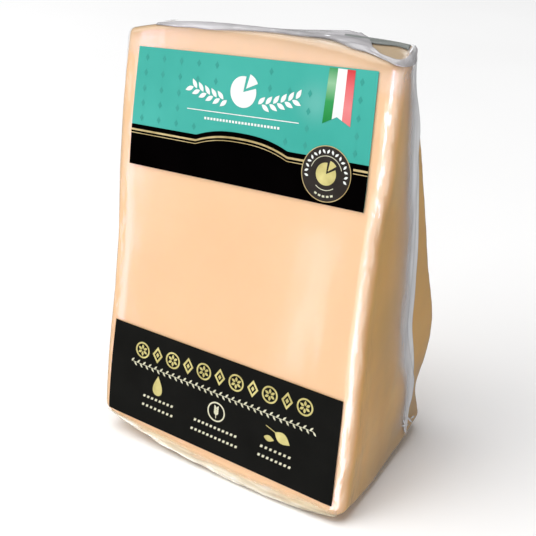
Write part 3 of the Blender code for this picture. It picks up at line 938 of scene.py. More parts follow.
def label_field(name, corners, material, top_edge, layer, thickness, columns, rows):
    """A closed plate of ink from a label's foot up to its top edge, a function of its width."""
    share = np.linspace(0.0, 1.0, columns + 1)
    up = np.linspace(0.0, 1.0, rows + 1)
    height = up[:, None] * top_edge(share)[None, :]
    grid = place_on_label(corners, share[None, :].repeat(rows + 1, 0), height)
    bottom = PRINT_BASE + (BASE_THICKNESS + layer * PRINT_LAYER if layer else 0.0)
    places = np.concatenate([front_places(grid[..., 0], grid[..., 1], bottom + lift).reshape(-1, 3)
                             for lift in (0.0, thickness)])
    count = columns + 1
    offset = count * (rows + 1)
    faces = []
    for row in range(rows):
        for column in range(columns):
            corner_index = row * count + column
            quad = [corner_index, corner_index + 1, corner_index + count + 1, corner_index + count]
            faces.append([index + offset for index in quad])
            faces.append(quad[::-1])
    rim = list(range(count)) + [row * count + columns for row in range(1, rows + 1)]
    rim += [rows * count + column for column in range(columns - 1, -1, -1)]
    rim += [row * count for row in range(rows - 1, 0, -1)]
    for start, end in zip(rim, rim[1:] + rim[:1]):
        faces.append([start, end, end + offset, start + offset])
    piece = new_piece(name, places, faces, material)
    piece.data.set_sharp_from_angle(angle=math.radians(40.0))
    return piece


def ink_material(name, low, high, scale, gloss):
    """Printed ink with a faint unevenness and a set gloss."""
    material, nodes, links = new_material(name)
    shader = nodes["Principled BSDF"]
    cloud = noise_texture(nodes, links, scale, 3.0)
    links.new(ramp(nodes, cloud, links, [(0.32, low), (0.68, high)]), shader.inputs["Base Color"])
    fine = noise_texture(nodes, links, 900.0, 2.0)
    links.new(bump(nodes, links, fine, 0.05, 0.0002).outputs["Normal"], shader.inputs["Normal"])
    shader.inputs["Roughness"].default_value = 0.42
    shader.inputs["Specular IOR Level"].default_value = gloss
    return material


def glowing_teal():
    """Teal ink that is paler round one place, near the top of the ribbon."""
    material = ink_material("teal_ink", (0.046, 0.400, 0.330), (0.064, 0.455, 0.380), 30.0, 0.10)
    nodes, links = material.node_tree.nodes, material.node_tree.links
    shader = nodes["Principled BSDF"]
    plain = shader.inputs["Base Color"].links[0].from_socket
    coordinate = nodes.new("ShaderNodeTexCoord")
    distance = nodes.new("ShaderNodeVectorMath")
    distance.operation = "DISTANCE"
    distance.inputs[1].default_value = GLOW_PLACE
    links.new(coordinate.outputs["Object"], distance.inputs[0])
    reach = nodes.new("ShaderNodeMapRange")
    reach.interpolation_type = "SMOOTHSTEP"
    reach.inputs["From Max"].default_value = GLOW_REACH
    reach.inputs["To Min"].default_value = 1.0
    reach.inputs["To Max"].default_value = 0.0
    links.new(distance.outputs["Value"], reach.inputs["Value"])
    glow = reach.outputs["Result"]
    pale = ramp(nodes, glow, links, [(0.0, (0.060, 0.430, 0.360)), (1.0, (0.42, 0.72, 0.68))])
    links.new(mix_colours(nodes, links, glow, plain, pale), shader.inputs["Base Color"])
    return material


def finish_print(piece, node=None):
    """Every print rides with the pack, and the fields stand for their labels' plates."""
    if node:
        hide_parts(node)
    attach(piece, "root")


upper_black_ink = ink_material("upper_black_ink", (0.0008, 0.0006, 0.0006), (0.0014, 0.0010, 0.0011),
                               60.0, 0.0)
lower_black_ink = ink_material("lower_black_ink", (0.0092, 0.0092, 0.0084), (0.0116, 0.0116, 0.0106),
                               60.0, 0.0)


def full_height(share):
    """A field that reaches the top of its label."""
    return np.ones_like(share)


# The black foot's upper edge, in shares of the label: level to a cusp, then an arch, then level again
BORDER_LEFT = 0.348
CUSP_LEFT = (0.299, 0.347)
CUSP_RIGHT = (0.689, 0.341)
BORDER_RIGHT = 0.342
BORDER_ARCH = 0.074
ARCH_FULLNESS = 2.4


def border_top(share):
    """How high the black foot reaches, as a share of the label's height."""
    left = blend(BORDER_LEFT, CUSP_LEFT[1], share / CUSP_LEFT[0])
    across = np.clip((share - CUSP_LEFT[0]) / (CUSP_RIGHT[0] - CUSP_LEFT[0]), 0.0, 1.0)
    rise = BORDER_ARCH * (1.0 - np.abs(2.0 * across - 1.0) ** ARCH_FULLNESS)
    arch = blend(CUSP_LEFT[1], CUSP_RIGHT[1], across) + rise
    right = blend(CUSP_RIGHT[1], BORDER_RIGHT, (share - CUSP_RIGHT[0]) / (1.0 - CUSP_RIGHT[0]))
    return np.where(share < CUSP_LEFT[0], left, np.where(share > CUSP_RIGHT[0], right, arch))


teal_field = label_field("teal_field", UPPER_CORNERS, glowing_teal(), full_height, 0,
                         BASE_THICKNESS, 60, 26)
finish_print(teal_field, "upper_label")
black_foot = label_field("black_foot", UPPER_CORNERS, upper_black_ink, border_top, 1, 0.00003, 160, 10)
finish_print(black_foot)
black_field = label_field("black_field", LOWER_CORNERS, lower_black_ink, full_height, 0,
                          BASE_THICKNESS, 64, 30)
finish_print(black_field, "lower_label")


# The inks over the fields.
# Every ornament is a thin closed plate of white, gold, cream or dark ink, printed over the fields in
# layers. Each is drawn flat, as distances right of the middle and above the heel's corners.
INK_THICKNESS = 0.00003
ROUND_POINTS = 64


def plate_mesh(name, shapes):
    """A flat closed plate for each shape, which is a list of an outline and its holes."""
    mesh = bpy.data.meshes.new(name)
    build = bmesh.new()
    for loops in shapes:
        loops = [[Vector((point[0], point[1], 0.0)) for point in loop] for loop in loops]
        flat = [point for loop in loops for point in loop]
        low = [build.verts.new(point) for point in flat]
        high = [build.verts.new(point + Vector((0.0, 0.0, INK_THICKNESS))) for point in flat]
        for triangle in geometry.tessellate_polygon(loops):
            build.faces.new([high[index] for index in triangle])
            build.faces.new([low[index] for index in reversed(triangle)])
        start = 0
        for loop in loops:
            for index in range(len(loop)):
                this, after = start + index, start + (index + 1) % len(loop)
                build.faces.new((low[this], low[after], high[after], high[this]))
            start += len(loop)
    bmesh.ops.recalc_face_normals(build, faces=build.faces)
    build.to_mesh(mesh)
    build.free()
    return mesh


def strip_mesh(name, strips):
    """Closed plates between pairs of edges, each with as many points on the one as on the other."""
    places, faces = [], []
    for low_edge, high_edge in strips:
        count, start = len(low_edge), len(places)
        for level in (0.0, INK_THICKNESS):
            places += [(x, y, level) for x, y in low_edge] + [(x, y, level) for x, y in high_edge]
        under, over = start, start + 2 * count
        for step in range(count - 1):
            quad = [step, step + 1, count + step + 1, count + step]
            faces.append([over + index for index in quad])
            faces.append([under + index for index in reversed(quad)])
        rim = list(range(count)) + list(range(2 * count - 1, count - 1, -1))
        for this, after in zip(rim, rim[1:] + rim[:1]):
            faces.append([under + this, under + after, over + after, over + this])
    mesh = bpy.data.meshes.new(name)
    mesh.from_pydata(places, [], faces)
    return mesh


def ink(name, mesh, material, layer):
    """A finished piece of print: flat plates laid on the front in one layer."""
    mesh.materials.append(material)
    lay_on_front(mesh, layer)
    piece = bpy.data.objects.new(name, mesh)
    bpy.context.scene.collection.objects.link(piece)
    finish_print(piece)
    return piece


def print_plates(name, shapes, material, layer):
    """A finished piece of print from the outlines of its plates."""
    return ink(name, plate_mesh(name, shapes), material, layer)


def round_outline(middle, radius, start=0.0, end=360.0, points=ROUND_POINTS):
    """The points of a circle or, with a start and an end in degrees, of an arc."""
    whole = end - start >= 360.0
    angles = np.radians(np.linspace(start, end, points, endpoint=not whole))
    return [(middle[0] + radius * math.cos(a), middle[1] + radius * math.sin(a)) for a in angles]


def ring_shape(middle, outer, inner):
    """A flat ring."""
    return [round_outline(middle, outer), round_outline(middle, inner)]


def arc_shape(middle, radius, width, start, end):
    """A stroke of one width along an arc."""
    outer = round_outline(middle, radius + width / 2, start, end)
    return [outer + round_outline(middle, radius - width / 2, start, end)[::-1]]


def leaf_outline(start, length, width, turn, points=7):
    """A pointed leaf from its stalk, as two arcs."""
    along = np.linspace(0.0, 1.0, points)
    side = np.sin(math.pi * along ** 0.9) * width / 2
    path = list(zip(along * length, side)) + list(zip(along[-2:0:-1] * length, -side[-2:0:-1]))
    cosine, sine = math.cos(turn), math.sin(turn)
    return [(start[0] + u * cosine - v * sine, start[1] + u * sine + v * cosine) for u, v in path]


def box_outline(start, end, height):
    """A straight stroke of one height between two places."""
    u = np.array(end) - np.array(start)
    across = np.array([-u[1], u[0]]) / np.hypot(*u) * height / 2
    low = [np.array(start) - across, np.array(end) - across]
    high = [np.array(end) + across, np.array(start) + across]
    return [tuple(corner) for corner in low + high]


def wheel_shapes(middle, radius, gap=62.0, turn=20.0):
    """A wheel of cheese with a slice drawn a little out of it."""
    cut = [middle] + round_outline(middle, radius, turn + gap, turn + 360.0)
    slide = radius * 0.30
    half = math.radians(turn + gap / 2)
    apart = (middle[0] + slide * math.cos(half), middle[1] + slide * math.sin(half))
    slice_points = [apart] + round_outline(apart, radius * 0.96, turn + 6.0, turn + gap - 6.0, 14)
    return [[cut], [slice_points]]


def ink_tone(name, low, high, gloss=0.10):
    """A print colour with a faint cloud in it."""
    return ink_material(name, low, high, 160.0, gloss)


white_ink = ink_tone("white_ink", (0.84, 0.87, 0.84), (0.90, 0.92, 0.89))
gold_ink = ink_tone("gold_ink", (0.50, 0.43, 0.155), (0.74, 0.66, 0.27))
line_gold_ink = ink_tone("line_gold_ink", (0.40, 0.30, 0.12), (0.66, 0.53, 0.27))
cream_ink = ink_tone("cream_ink", (0.66, 0.64, 0.46), (0.78, 0.76, 0.58))
badge_ink = ink_tone("badge_ink", (0.026, 0.021, 0.018), (0.036, 0.030, 0.026), 0.04)
motif_ink = ink_tone("motif_ink", (0.040, 0.330, 0.275), (0.052, 0.370, 0.308))


# The ribbon.
# A satin ribbon of three upright stripes, green, white and red, is printed over the teal. It hangs
# from the label's top, and its foot is cut to a notch.
RIBBON_LEFT = (0.0322, 0.1594)
RIBBON_RIGHT = (0.0421, 0.1597)
RIBBON_TIP_LEFT = (0.0318, 0.1405)
RIBBON_TIP_RIGHT = (0.0427, 0.1410)
RIBBON_NOTCH = (0.0372, 0.1435)
RIBBON_STRIPES = (0.0, 0.33, 0.69, 1.0)


def striped_tone(name, stops):
    """A satin print colour that changes down the ribbon."""
    material = ink_material(name, stops[0][1], stops[-1][1], 160.0, 0.10)
    nodes, links = material.node_tree.nodes, material.node_tree.links
    coordinate = nodes.new("ShaderNodeTexCoord")
    split = nodes.new("ShaderNodeSeparateXYZ")
    links.new(coordinate.outputs["Object"], split.inputs["Vector"])
    height = nodes.new("ShaderNodeMapRange")
    height.inputs["From Min"].default_value = HEEL_CORNER + RIBBON_TIP_LEFT[1]
    height.inputs["From Max"].default_value = HEEL_CORNER + RIBBON_RIGHT[1]
    links.new(split.outputs["Z"], height.inputs["Value"])
    tone = ramp(nodes, height.outputs["Result"], links, stops)
    links.new(tone, nodes["Principled BSDF"].inputs["Base Color"])
    return material


green_satin = striped_tone("green_satin", [(0.0, (0.010, 0.235, 0.045)), (0.40, (0.035, 0.33, 0.09)),
                                           (0.72, (0.30, 0.56, 0.33)), (1.0, (0.045, 0.31, 0.10))])
white_satin = striped_tone("white_satin", [(0.0, (0.80, 0.84, 0.80)), (0.55, (0.93, 0.94, 0.92)),
                                           (1.0, (0.86, 0.89, 0.87))])
red_satin = striped_tone("red_satin", [(0.0, (0.78, 0.20, 0.20)), (0.35, (0.82, 0.26, 0.26)),
                                       (0.70, (0.80, 0.16, 0.17)), (1.0, (0.66, 0.045, 0.05))])
top_left, top_right = np.array(RIBBON_LEFT), np.array(RIBBON_RIGHT)
notch = np.array(RIBBON_NOTCH)


def ribbon_foot(share):
    """The lower end of the ribbon at a share of its width."""
    half = 0.5
    if share <= half:
        return blend(np.array(RIBBON_TIP_LEFT), notch, share / half)
    return blend(notch, np.array(RIBBON_TIP_RIGHT), (share - half) / half)


stripe_tones = (green_satin, white_satin, red_satin)
for index, tone in enumerate(stripe_tones):
    low_share, high_share = RIBBON_STRIPES[index], RIBBON_STRIPES[index + 1]
    outline = [ribbon_foot(low_share)]
    if low_share < 0.5 < high_share:
        outline.append(notch)
    outline.append(ribbon_foot(high_share))
    outline.append(blend(top_left, top_right, high_share))
    outline.append(blend(top_left, top_right, low_share))
    name = "ribbon_stripe_" + str(index + 1)
    print_plates(name, [[outline]], tone, 2)


# The gold lines.
# A thick and a thin line of dull gold follow the black foot's border a little below it, and stop at
# both sides of the badge.
GOLD_LINES = ((0.0458, 0.0078), (0.0738, 0.0030))
LINE_POINTS = 150
BADGE_SIDE_LEFT = 0.757
BADGE_SIDE_RIGHT = 0.946
line_strips = []
for below, thick in GOLD_LINES:
    for first, last in ((0.0, BADGE_SIDE_LEFT), (BADGE_SIDE_RIGHT, 1.0)):
        share = np.linspace(first, last, LINE_POINTS)
        middle = border_top(share) - below
        upper_side = place_on_label(UPPER_CORNERS, share, middle + thick)
        lower_side = place_on_label(UPPER_CORNERS, share, middle - thick)
        line_strips.append((lower_side.tolist(), upper_side.tolist()))
ink("gold_lines", strip_mesh("gold_lines", line_strips), line_gold_ink, 3)


# The emblem.
# A wheel of cheese in white ink stands where a name would, between two leaf branches, over a thin
# rule and a dotted row. Geometry Nodes set the leaves and the dots along their paths.
EMBLEM_MIDDLE = (-0.0018, 0.1462)
EMBLEM_RADIUS = 0.0056
print_plates("wheel_emblem", wheel_shapes(EMBLEM_MIDDLE, EMBLEM_RADIUS), white_ink, 2)
RULE_START = (-0.0262, 0.1367)
RULE_END = (0.0226, 0.1390)
RULE_HEIGHT = 0.00034
print_plates("white_rule", [[box_outline(RULE_START, RULE_END, RULE_HEIGHT)]], white_ink, 2)


def marks_tree(name, material, place_marks):
    """A node tree that sets a mark on every point of the places it is given, then makes it one mesh."""
    tree = bpy.data.node_groups.new(name, "GeometryNodeTree")
    tree.interface.new_socket("Geometry", in_out="INPUT", socket_type="NodeSocketGeometry")
    mark_socket = tree.interface.new_socket("Mark", in_out="INPUT", socket_type="NodeSocketObject")
    tilt_socket = tree.interface.new_socket("Tilt", in_out="INPUT", socket_type="NodeSocketFloat")
    sockets = {"Mark": mark_socket.identifier, "Tilt": tilt_socket.identifier}
    tree.interface.new_socket("Geometry", in_out="OUTPUT", socket_type="NodeSocketGeometry")
    nodes, links = tree.nodes, tree.links
    entry = nodes.new("NodeGroupInput")
    points, turn = place_marks(tree, entry, sockets)
    mark = nodes.new("GeometryNodeObjectInfo")
    links.new(entry.outputs["Mark"], mark.inputs["Object"])
    place = nodes.new("GeometryNodeInstanceOnPoints")
    links.new(points, place.inputs["Points"])
    links.new(mark.outputs["Geometry"], place.inputs["Instance"])
    links.new(turn, place.inputs["Rotation"])
    realize = nodes.new("GeometryNodeRealizeInstances")
    paint = nodes.new("GeometryNodeSetMaterial")
    paint.inputs["Material"].default_value = material
    leave = nodes.new("NodeGroupOutput")
    links.new(place.outputs["Instances"], realize.inputs["Geometry"])
    links.new(realize.outputs["Geometry"], paint.inputs["Geometry"])
    links.new(paint.outputs["Geometry"], leave.inputs["Geometry"])
    return tree, sockets


def place_along_path(tree, entry, sockets):
    """Points at one pitch along the path that comes in, with marks turned to it and tilted in turn."""
    count = tree.interface.new_socket("Count", in_out="INPUT", socket_type="NodeSocketInt")
    sockets["Count"] = count.identifier
    nodes, links = tree.nodes, tree.links
    spread = nodes.new("GeometryNodeCurveToPoints")
    links.new(entry.outputs["Geometry"], spread.inputs["Curve"])
    links.new(entry.outputs["Count"], spread.inputs["Count"])
    align = nodes.new("FunctionNodeAlignRotationToVector")
    align.axis = "X"
    align.pivot_axis = "Z"
    links.new(spread.outputs["Tangent"], align.inputs["Vector"])
    number = nodes.new("GeometryNodeInputIndex")
    parity = nodes.new("ShaderNodeMath")
    parity.operation = "MODULO"
    parity.inputs[1].default_value = 2.0
    links.new(number.outputs["Index"], parity.inputs[0])
    side = nodes.new("ShaderNodeMapRange")
    side.inputs["To Min"].default_value = 1.0
    side.inputs["To Max"].default_value = -1.0
    links.new(parity.outputs["Value"], side.inputs["Value"])
    tilt = nodes.new("ShaderNodeMath")
    tilt.operation = "MULTIPLY"
    links.new(side.outputs["Result"], tilt.inputs[0])
    links.new(entry.outputs["Tilt"], tilt.inputs[1])
    own = nodes.new("FunctionNodeAxisAngleToRotation")
    own.inputs["Axis"].default_value = (0.0, 0.0, 1.0)
    links.new(tilt.outputs["Value"], own.inputs["Angle"])
    turned = nodes.new("FunctionNodeRotateRotation")
    turned.rotation_space = "LOCAL"
    links.new(align.outputs["Rotation"], turned.inputs["Rotation"])
    links.new(own.outputs["Rotation"], turned.inputs["Rotate By"])
    return spread.outputs["Points"], turned.outputs["Rotation"]


def place_on_points(tree, entry, sockets):
    """The points of the mesh that comes in, with every mark turned by the tilt."""
    nodes, links = tree.nodes, tree.links
    own = nodes.new("FunctionNodeAxisAngleToRotation")
    own.inputs["Axis"].default_value = (0.0, 0.0, 1.0)
    links.new(entry.outputs["Tilt"], own.inputs["Angle"])
    return entry.outputs["Geometry"], own.outputs["Rotation"]


def evaluated_mesh(carrier, tree, sockets, values, name):
    """Runs a node tree on a carrier object and gives the result as a plain mesh."""
    modifier = carrier.modifiers.new("marks", "NODES")
    modifier.node_group = tree
    for socket, value in values.items():
        modifier[sockets[socket]] = value
    bpy.context.view_layer.update()
    evaluated = carrier.evaluated_get(bpy.context.evaluated_depsgraph_get())
    mesh = bpy.data.meshes.new_from_object(evaluated)
    mesh.name = name
    return mesh


def marks(name, carrier_data, mark_shapes, material, layer, place_marks, tilt=0.0, count=None):
    """A finished piece of print made of one mark, repeated by Geometry Nodes over its carrier."""
    mark = bpy.data.objects.new(name + "_mark", plate_mesh(name + "_mark", mark_shapes))
    carrier = bpy.data.objects.new(name + "_carrier", carrier_data)
    for helper in (mark, carrier):
        bpy.context.scene.collection.objects.link(helper)
    tree, sockets = marks_tree(name + "_tree", material, place_marks)
    values = {"Mark": mark, "Tilt": tilt}
    if count is not None:
        values["Count"] = count
    mesh = evaluated_mesh(carrier, tree, sockets, values, name)
    for helper in (mark, carrier):
        bpy.data.objects.remove(helper)
    lay_on_front(mesh, layer)
    piece = bpy.data.objects.new(name, mesh)
    bpy.context.scene.collection.objects.link(piece)
    finish_print(piece)
    return piece


def path_curve(name, points):
    """A curve of straight pieces through flat points."""
    curve = bpy.data.curves.new(name, "CURVE")
    curve.dimensions = "3D"
    spline = curve.splines.new("POLY")
    spline.points.add(len(points) - 1)
    for spot, (x, y) in zip(spline.points, points):
        spot.co = (x, y, 0.0, 1.0)
    return curve


def marks_on_path(name, points, mark_shapes, material, layer, count, tilt=0.0):
    """A mark repeated along a path."""
    carrier = path_curve(name, points)
    return marks(name, carrier, mark_shapes, material, layer, place_along_path, tilt, count)


# Two leaf branches rise from the middle to both sides of the emblem
BRANCH_START = 0.0068
BRANCH_END = 0.0222
BRANCH_LOW = 0.0036
BRANCH_LIFT = 0.0034
BRANCH_LEAVES = 11
LEAF_LENGTH = 0.0040
LEAF_WIDTH = 0.0017
LEAF_TILT = 0.72
BRANCH_SLOPE = 0.045
branch_leaf = [[leaf_outline((0.0, 0.0), LEAF_LENGTH, LEAF_WIDTH, 0.0)]]
for side, word in ((-1.0, "left"), (1.0, "right")):
    out = np.linspace(0.0, 1.0, 16)
    away = side * blend(BRANCH_START, BRANCH_END, out)
    levels = EMBLEM_MIDDLE[1] - BRANCH_LOW + BRANCH_LIFT * out ** 1.6 + away * BRANCH_SLOPE
    path = [(EMBLEM_MIDDLE[0] + x, level) for x, level in zip(away, levels)]
    marks_on_path("leaf_branch_" + word, path, branch_leaf, white_ink, 2,
                  BRANCH_LEAVES, LEAF_TILT)
dash = [[box_outline((-0.00045, 0.0), (0.00045, 0.0), 0.0009)]]
marks_on_path("dotted_row", [(-0.0176, 0.1344), (0.0145, 0.1359)], dash, white_ink, 2, 24)


# The lozenges in the teal.
# A quiet grid of small lozenges in a darker teal fills the label between the ornaments, as a printed
# ground does.
MOTIF_HALF = (0.00090, 0.00140)
MOTIF_COLUMNS = (0.045, 0.125, 0.205, 0.285, 0.365, 0.595, 0.675, 0.755, 0.945)
MOTIF_ROWS = (0.915, 0.790, 0.660, 0.535, 0.410)
MOTIF_OVER_BORDER = 0.035

# The places left free of lozenges: left, right, low and high, in shares of the label
MOTIF_EMPTY = (
    (0.24, 0.72, 0.46, 0.72),
    (0.37, 0.54, 0.66, 0.97),
    (0.80, 0.94, 0.56, 1.00),
    (0.60, 0.90, 0.85, 1.00),
)
BADGE_SHARE = (0.852, 0.228)
BADGE_KEEP = 0.0125
LABEL_WIDTH = 0.1034
LABEL_HEIGHT = 0.047
motif_points = []
for column in MOTIF_COLUMNS:
    for row in MOTIF_ROWS:
        hidden = any(left < column < right and low < row < high for left, right, low, high in MOTIF_EMPTY)
        to_badge = math.hypot((column - BADGE_SHARE[0]) * LABEL_WIDTH,
                              (row - BADGE_SHARE[1]) * LABEL_HEIGHT)
        above_border = row - border_top(np.array(column)) > MOTIF_OVER_BORDER
        if not hidden and to_badge >= BADGE_KEEP and above_border:
            motif_points.append(tuple(place_on_label(UPPER_CORNERS, column, row)) + (0.0,))
motif_mesh = bpy.data.meshes.new("motif_points")
motif_mesh.from_pydata(motif_points, [], [])
motif = [[[(-MOTIF_HALF[0], 0.0), (0.0, -MOTIF_HALF[1]), (MOTIF_HALF[0], 0.0), (0.0, MOTIF_HALF[1])]]]
marks("teal_motifs", motif_mesh, motif, motif_ink, 1, place_on_points)


# The badge.
# A dark disc in a gold ring lies over the border at the right. White leaves go round its upper part,
# with a gold wheel of cheese in the middle and two arcs and a row of dashes below.
BADGE_MIDDLE = (0.0358, 0.1236)
BADGE_RADIUS = 0.0098
print_plates("badge_disc", [[round_outline(BADGE_MIDDLE, BADGE_RADIUS)]], badge_ink, 4)
badge_ring = [ring_shape(BADGE_MIDDLE, BADGE_RADIUS + 0.0001, BADGE_RADIUS - 0.00018)]
print_plates("badge_ring", badge_ring, line_gold_ink, 5)
BADGE_LEAF_RADIUS = 0.0079
BADGE_WHEEL_RADIUS = 0.0040
BADGE_ARCS = ((0.0063, 0.00022, 20.0, 165.0), (0.0057, 0.00025, 232.0, 308.0))
arcs = [arc_shape(BADGE_MIDDLE, radius, width, start, end) for radius, width, start, end in BADGE_ARCS]
print_plates("badge_inner_arcs", arcs, cream_ink, 5)
badge_leaf = [[leaf_outline((-0.00085, 0.0), 0.0017, 0.00085, 0.0)]]
leaf_arc = round_outline(BADGE_MIDDLE, BADGE_LEAF_RADIUS, 192.0, -12.0, 60)
marks_on_path("badge_leaves", leaf_arc, badge_leaf, white_ink, 5, 17, 1.1)
dash_arc = round_outline(BADGE_MIDDLE, BADGE_LEAF_RADIUS, 246.0, 294.0, 20)
badge_dash = [[box_outline((-0.0005, 0.0), (0.0005, 0.0), 0.0007)]]
marks_on_path("badge_dashes", dash_arc, badge_dash, cream_ink, 5, 5)
badge_wheel = wheel_shapes(BADGE_MIDDLE, BADGE_WHEEL_RADIUS, 58.0, 30.0)
print_plates("badge_wheel", badge_wheel, gold_ink, 5)


# The title's band.
# Rosettes and lozenges in gold ink stand on the black field in one row, where a title would be, over
# a fine vine in cream ink with small leaves to both sides.
TITLE_START = (-0.0398, 0.0341)
TITLE_END = (0.0392, 0.0352)
TITLE_PLACES = 11
ROSETTE_OUTER = 0.0036
ROSETTE_INNER = 0.0029
PETAL_ROOT = 0.0005
PETAL_LENGTH = 0.0021
PETAL_WIDTH = 0.0011
rosette = [ring_shape((0.0, 0.0), ROSETTE_OUTER, ROSETTE_INNER)]
for petal in range(6):
    turn = math.radians(60.0 * petal + 30.0)
    root = (PETAL_ROOT * math.cos(turn), PETAL_ROOT * math.sin(turn))
    rosette.append([leaf_outline(root, PETAL_LENGTH, PETAL_WIDTH, turn)])
lozenge_outer = [(-0.0026, 0.0), (0.0, -0.0037), (0.0026, 0.0), (0.0, 0.0037)]
lozenge_inner = [(x * 0.62, y * 0.62) for x, y in lozenge_outer]
lozenge_core = [(x * 0.30, y * 0.30) for x, y in lozenge_outer]
title_shares = np.linspace(0.0, 1.0, TITLE_PLACES)
title = [blend(np.array(TITLE_START), np.array(TITLE_END), share) for share in title_shares]
title_turn = math.atan2(TITLE_END[1] - TITLE_START[1], TITLE_END[0] - TITLE_START[0])
lozenge = [[lozenge_outer, lozenge_inner], [lozenge_core]]
for word, first, shapes in (("rosettes", 0, rosette), ("lozenges", 1, lozenge)):
    points_mesh = bpy.data.meshes.new("title_points")
    points_mesh.from_pydata([tuple(point) + (0.0,) for point in title[first::2]], [], [])
    marks("title_" + word, points_mesh, shapes, gold_ink, 1, place_on_points, title_turn)

VINE_START = (-0.0452, 0.0278)
VINE_END = (0.0440, 0.0266)
VINE_LEAVES = 60
vine_leaf = [[leaf_outline((0.0, 0.0), 0.0021, 0.0008, 0.0, 5)]]
marks_on_path("vine_leaves", [VINE_START, VINE_END], vine_leaf, cream_ink, 1,
              VINE_LEAVES, 0.85)
print_plates("vine_stem", [[box_outline(VINE_START, VINE_END, 0.00018)]], cream_ink, 1)


# The three signs.
# Gold and cream inks draw a drop, a ring with an ear of grain and a pair of leaves on the black field,
# with two rows of dashes under each.
DROP_MIDDLE = (-0.0307, 0.0206)
EAR_MIDDLE = (-0.0005, 0.0193)
LEAVES_MIDDLE = (0.0288, 0.0186)
DROP_HALF = (0.0033, 0.0045)


def beside(middle, x, y):
    """The place so far right of a sign's middle and so far above it."""
    return middle[0] + x, middle[1] + y


drop = [beside(DROP_MIDDLE, DROP_HALF[0] * math.sin(angle) * math.sin(angle / 2) ** 1.3,
               DROP_HALF[1] * math.cos(angle))
        for angle in np.radians(np.linspace(0.0, 360.0, 40, endpoint=False))]
print_plates("drop_sign", [[drop]], gold_ink, 1)
ear = [ring_shape(EAR_MIDDLE, 0.0043, 0.0037),
       [box_outline(beside(EAR_MIDDLE, 0.0, -0.0028), beside(EAR_MIDDLE, 0.0, 0.0008), 0.0003)]]
for step in range(4):
    for side in (-1.0, 1.0):
        start = beside(EAR_MIDDLE, 0.0, step * 0.0009 - 0.0014)
        ear.append([leaf_outline(start, 0.0019, 0.0008, math.pi / 2 - side * 0.65, 5)])
print_plates("ear_sign", ear, cream_ink, 1)
leaf_stalk = box_outline(beside(LEAVES_MIDDLE, -0.0056, 0.0034), beside(LEAVES_MIDDLE, -0.0010, 0.0018),
                         0.0003)
leaf_pair = [[leaf_outline(beside(LEAVES_MIDDLE, -0.0012, 0.0018), 0.0078, 0.0046, -0.42, 12)],
             [leaf_outline(beside(LEAVES_MIDDLE, -0.0060, -0.0016), 0.0048, 0.0026, -0.05, 9)],
             [leaf_stalk]]
print_plates("leaves_sign", leaf_pair, gold_ink, 1)

# The name, the start, the end and the number of dashes of each row
CAPTION_ROWS = (
    ("first_1", (-0.0372, 0.0141), (-0.0228, 0.0139), 8),
    ("first_2", (-0.0376, 0.0100), (-0.0226, 0.0096), 8),
    ("second_1", (-0.0105, 0.0124), (0.0097, 0.0120), 11),
    ("second_2", (-0.0118, 0.0081), (0.0104, 0.0076), 12),
    ("third_1", (0.0222, 0.0125), (0.0352, 0.0122), 7),
    ("third_2", (0.0214, 0.0085), (0.0357, 0.0081), 8),
)
caption_dash = [[[(-0.00070, -0.00055), (0.00035, -0.00055), (0.00070, 0.00055), (-0.00035, 0.00055)]]]
for word, start, end, count in CAPTION_ROWS:
    marks_on_path("caption_" + word, [start, end], caption_dash, cream_ink, 1, count)


# The floor, the light and the camera.
# The pack stands on a plain pale floor in soft light. The camera looks down on its front and right
# side, as in the photograph.
PHOTO_SIZE = 536
FOCAL_PIXELS = 877.2
SENSOR = 36.0
CAMERA_PLACE = (0.17229, -0.27028, 0.24564)
CAMERA_AZIMUTH = math.radians(32.19)
CAMERA_ELEVATION = math.radians(27.17)


def look_along(azimuth, elevation):
    """The turn of a camera or light that stands at this azimuth and elevation and looks inwards."""
    back = Vector((math.sin(azimuth) * math.cos(elevation), -math.cos(azimuth) * math.cos(elevation),
                   math.sin(elevation)))
    return back, back.to_track_quat("Z", "Y").to_euler()


camera_data = bpy.data.cameras.new("photo_camera")
camera_data.sensor_width = SENSOR
camera_data.lens = FOCAL_PIXELS / PHOTO_SIZE * SENSOR
camera_data.clip_start = 0.01
camera = bpy.data.objects.new("photo_camera", camera_data)
camera.location = CAMERA_PLACE
camera.rotation_euler = look_along(CAMERA_AZIMUTH, CAMERA_ELEVATION)[1]
bpy.context.scene.collection.objects.link(camera)
bpy.context.scene.camera = camera
bpy.context.scene.view_settings.view_transform = "Standard"

FLOOR_HALF = 6.0
floor_mesh = bpy.data.meshes.new("floor")
floor_mesh.from_pydata([(-FLOOR_HALF, -FLOOR_HALF, 0), (FLOOR_HALF, -FLOOR_HALF, 0),
                        (FLOOR_HALF, FLOOR_HALF, 0), (-FLOOR_HALF, FLOOR_HALF, 0)], [], [(0, 1, 2, 3)])
floor = bpy.data.objects.new("floor", floor_mesh)
bpy.context.scene.collection.objects.link(floor)
floor_material, floor_nodes, floor_links = new_material("pale_floor")
floor_shader = floor_nodes["Principled BSDF"]
floor_tone = ramp(floor_nodes, noise_texture(floor_nodes, floor_links, 3.0, 2.0), floor_links,
                  [(0.3, (0.90, 0.90, 0.90)), (0.7, (0.93, 0.93, 0.93))])
floor_links.new(floor_tone, floor_shader.inputs["Base Color"])
floor_shader.inputs["Roughness"].default_value = 0.9
floor_shader.inputs["Specular IOR Level"].default_value = 0.1
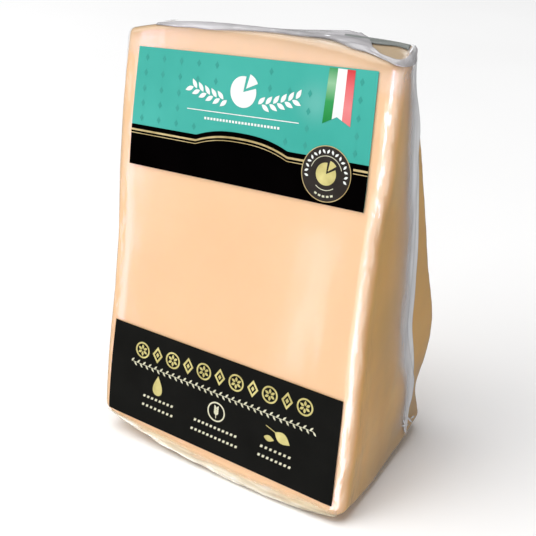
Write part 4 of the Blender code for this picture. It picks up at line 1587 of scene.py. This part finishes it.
floor_mesh.materials.append(floor_material)
floor.visible_glossy = False


PACK_MIDDLE = Vector((0.0, 0.0, 0.085))


def soft_light(name, azimuth, elevation, distance, size, power, gloss_only=False, tint=(1.0, 1.0, 1.0)):
    """A rectangular soft box that looks at the middle of the pack."""
    data = bpy.data.lights.new(name, "AREA")
    data.color = tint
    data.shape = "RECTANGLE"
    data.size, data.size_y = size
    data.energy = power
    light = bpy.data.objects.new(name, data)
    back, turn = look_along(math.radians(azimuth), math.radians(elevation))
    light.location = PACK_MIDDLE + back * distance
    light.rotation_euler = turn
    light.visible_camera = False
    light.visible_diffuse = not gloss_only
    bpy.context.scene.collection.objects.link(light)
    return light


# A soft key light, and cards that show only as reflections in the film: beside the front's edges, down
# its middle and along the heel
soft_light("key_light", -46.0, 36.0, 2.4, (1.9, 1.9), 33.0)
soft_light("edge_card", 33.0, -8.0, 0.9, (1.75, 0.70), 16.0, True)
soft_light("upper_core_card", 26.0, 9.5, 0.9, (0.54, 0.28), 6.6, True, (0.85, 0.64, 1.0))
soft_light("lower_core_card", 26.0, -18.0, 0.9, (0.54, 0.35), 7.1, True, (0.85, 0.64, 1.0))
soft_light("shoulder_card", -42.6, -4.0, 0.9, (0.09, 0.62), 1.30, True, (0.90, 0.66, 1.0))
soft_light("streak_card", -22.9, -9.3, 0.9, (0.018, 0.205), 0.130, True, (0.90, 0.78, 1.0))
soft_light("lip_card", -62.0, -50.0, 0.9, (0.70, 0.50), 4.0, True)
sun_data = bpy.data.lights.new("ceiling_light", "SUN")
sun_data.energy = 1.9
sun_data.angle = math.radians(40.0)
sun = bpy.data.objects.new("ceiling_light", sun_data)
sun.rotation_euler = look_along(math.radians(-25.0), math.radians(76.0))[1]
bpy.context.scene.collection.objects.link(sun)

world = bpy.data.worlds.new("pale_room")
world.use_nodes = True
world.node_tree.nodes["Background"].inputs["Color"].default_value = (1.0, 1.0, 1.0, 1.0)
world.node_tree.nodes["Background"].inputs["Strength"].default_value = 0.26
bpy.context.scene.world = world
